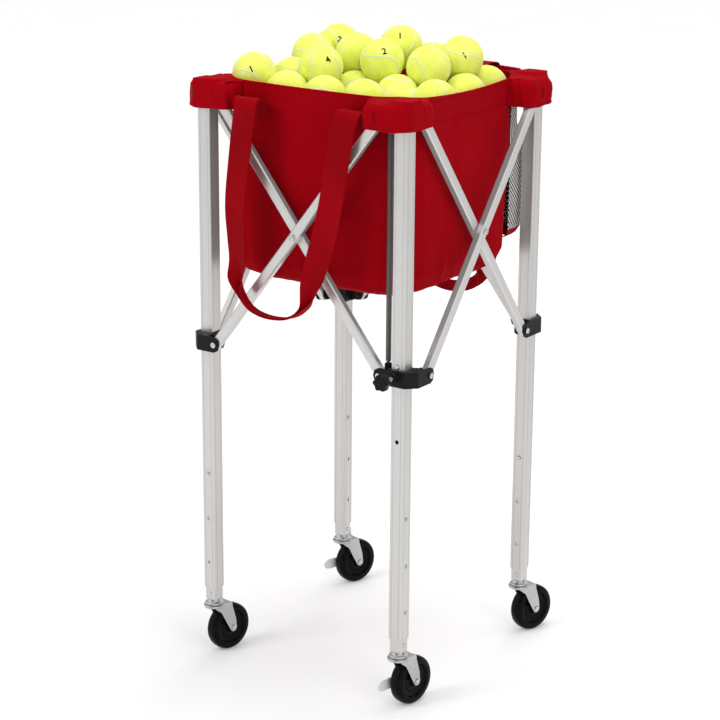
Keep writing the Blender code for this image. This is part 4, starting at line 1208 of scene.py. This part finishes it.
def make_balls():
    """The balls on top one by one, and those below them in four pieces."""
    places, fixed = pack_balls()
    random.seed(5)
    top, lower, parts, single_above = 0, [], 4, 0.872
    for i, at in enumerate(places):
        matrix = moved(*at)
        tilt = TURNS.get(i) or tuple(random.uniform(0, 360) for _ in range(3))
        for angle, axis in zip(tilt[::-1], "ZYX"):
            matrix = matrix @ spun(radians(angle), axis)
        if i < fixed or at[2] > single_above:
            top += 1
            add_balls("ball_%02d" % top, True, [matrix], "ball_load")
        else:
            lower.append((at[2], matrix))
        if i in DIGITS:
            print_digit(i, Vector(at), *DIGITS[i])
    lower = [matrix for _, matrix in sorted(lower, key=lambda ball: ball[0])]
    share = ceil(len(lower) / parts)
    for n in range(parts):
        add_balls("lower_balls_%d" % (n + 1), False, lower[n * share:(n + 1) * share])
    print("balls: %d on top, %d below" % (top, len(lower)))


def print_digit(i, centre, body, across, above, spin):
    """A plain printed number, wrapped on the ball where the photograph shows one."""
    toward = (CAMERA_AT - centre).normalized()
    way = (toward + CAMERA_RIGHT * across + toward.cross(CAMERA_RIGHT) * above).normalized()
    side = (CAMERA_RIGHT - way * CAMERA_RIGHT.dot(way)).normalized()
    high = way.cross(side)
    a = radians(spin)
    side, high = side * cos(a) + high * sin(a), high * cos(a) - side * sin(a)
    text = bpy.data.curves.new("number", "FONT")
    text.body = body
    text.size = DIGIT_SIZE
    text.offset = DIGIT_BOLD
    text.align_x = text.align_y = "CENTER"
    item = linked("number", text)
    bm = bmesh.new()
    bm.from_mesh(baked(item))
    bpy.data.objects.remove(item, do_unlink=True)
    bmesh.ops.subdivide_edges(bm, edges=bm.edges, cuts=2, use_grid_fill=True)
    bmesh.ops.triangulate(bm, faces=bm.faces)
    for v in bm.verts:
        v.co = centre + (way * BALL_R + side * v.co.x + high * v.co.y).normalized() * (BALL_R + INK_OVER)
    extra = bmesh.ops.extrude_face_region(bm, geom=list(bm.faces))
    for v in extra["geom"]:
        if isinstance(v, bmesh.types.BMVert):
            v.co = centre + (v.co - centre).normalized() * (BALL_R - INK_UNDER)
    add("ball_number_%d" % i, bm, "ink", "balls", angle=None)


# Stage

# round the horizon from -X through -Y, +X and +Y: pale walls with darker gaps between them
WALLS = (
    (0, 0.75), (0.06, 0.95), (0.16, 1), (0.2, 0.45), (0.25, 0.3), (0.33, 0.7), (0.4, 0.95), (0.52, 0.8),
    (0.6, 0.32), (0.645, 0.26), (0.67, 0.75), (0.74, 0.95), (0.83, 0.55), (0.9, 0.35), (1, 0.75))
# each lamp's place, size and power
LAMPS = {
    "key": ((-1.2, -2.8, 2.8), 1.2, 38), "fill": ((2.8, -1.2, 2.0), 1.8, 22),
    "top": ((0.2, 0.4, 3.0), 1.4, 28), "rear": ((-0.8, 2.6, 2.0), 1.6, 14)}


def make_stage():
    """A wide pale floor that glows more with distance from the cart."""
    reach = 24.0
    ground = bmesh.new()
    corners = ((-reach, -reach, 0), (reach, -reach, 0), (reach, reach, 0), (-reach, reach, 0))
    ground.faces.new([ground.verts.new(at) for at in corners])
    look = Look("floor_white", (0.86, 0.86, 0.86), 0.9)
    away = look.node("VectorMath", look.where, operation="LENGTH").outputs["Value"]
    far = look.node("MapRange", interpolation_type="SMOOTHSTEP", Value=away, From_Min=0.9, From_Max=4.5,
                    To_Min=FLOOR_GLOW, To_Max=FLOOR_GLOW_FAR)
    # the metal mirrors a slightly duller floor than the camera sees
    mirrored = look.ray("Glossy")
    colour = look.blended(mirrored, look.ramp(look.noise(3.0), (0.3, 0.85), (0.7, 0.87)), (0.74, 0.74, 0.74))
    glow = Value(look, far.outputs["Result"]) * (mirrored * -0.5 + 1.0)
    looks["floor"] = look.finish(Base_Color=colour, Emission_Color=(1, 1, 1), Emission_Strength=glow,
                                 Specular_IOR_Level=0.0)
    make("floor", ground, "floor", None)


def make_world():
    """Walls that only glossy rays see in detail; camera and diffuse rays see plain ones."""
    world = bpy.data.worlds.new("studio")
    bpy.context.scene.world = world
    world.use_nodes = True
    nodes = Nodes(world.node_tree, "Generated")
    x, y, _ = nodes.split(nodes.where)
    share = y.then("ARCTAN2", x).then("MULTIPLY_ADD", 1 / FULL_TURN, 0.5)
    glossy, camera = nodes.ray("Glossy"), nodes.ray("Camera")
    shade = world.node_tree.nodes["Background"]
    nodes.set(shade, "Color", nodes.blended(glossy, (1, 1, 1), nodes.ramp(share, *WALLS)))
    sharp = camera.then("MAXIMUM", glossy)
    nodes.set(shade, "Strength", sharp.then("MULTIPLY_ADD", 1.0 - WORLD_SOFT, WORLD_SOFT))


def make_lights():
    """Soft lamps that light the cloth and felt; the metal mirrors the studio walls instead."""
    aim = Vector((0, 0, 0.6))
    for name, (at, size, power) in LAMPS.items():
        data = bpy.data.lights.new(name, "AREA")
        data.size = size
        data.energy = power
        item = linked(name, data)
        item.location = at
        item.rotation_euler = (aim - Vector(at)).to_track_quat("-Z", "Y").to_euler()
        item.visible_glossy = False


def make_camera():
    """The photograph's camera, its picture's centre moved to that of the photograph."""
    data = bpy.data.cameras.new("camera")
    data.lens = CAMERA_LENS
    data.sensor_width = FILM
    data.shift_x = (PHOTO_SIZE / 2 - PHOTO_CENTRE[0]) / PHOTO_SIZE
    data.shift_y = (PHOTO_CENTRE[1] - PHOTO_SIZE / 2) / PHOTO_SIZE
    camera = linked("camera", data)
    turn = Matrix((CAMERA_RIGHT, CAMERA_UP, -CAMERA_FORWARD)).transposed().to_4x4()
    camera.matrix_world = Matrix.Translation(CAMERA_AT) @ turn
    bpy.context.scene.camera = camera
    bpy.context.scene.view_settings.view_transform = "Standard"


for step in (make_camera, dress_frame, make_rivets, make_spring, make_knob, make_casters, make_bag_sides,
             make_bag_floor, make_pockets, make_mesh_pocket, make_straps, make_balls, make_stage, make_world,
             make_lights):
    step()
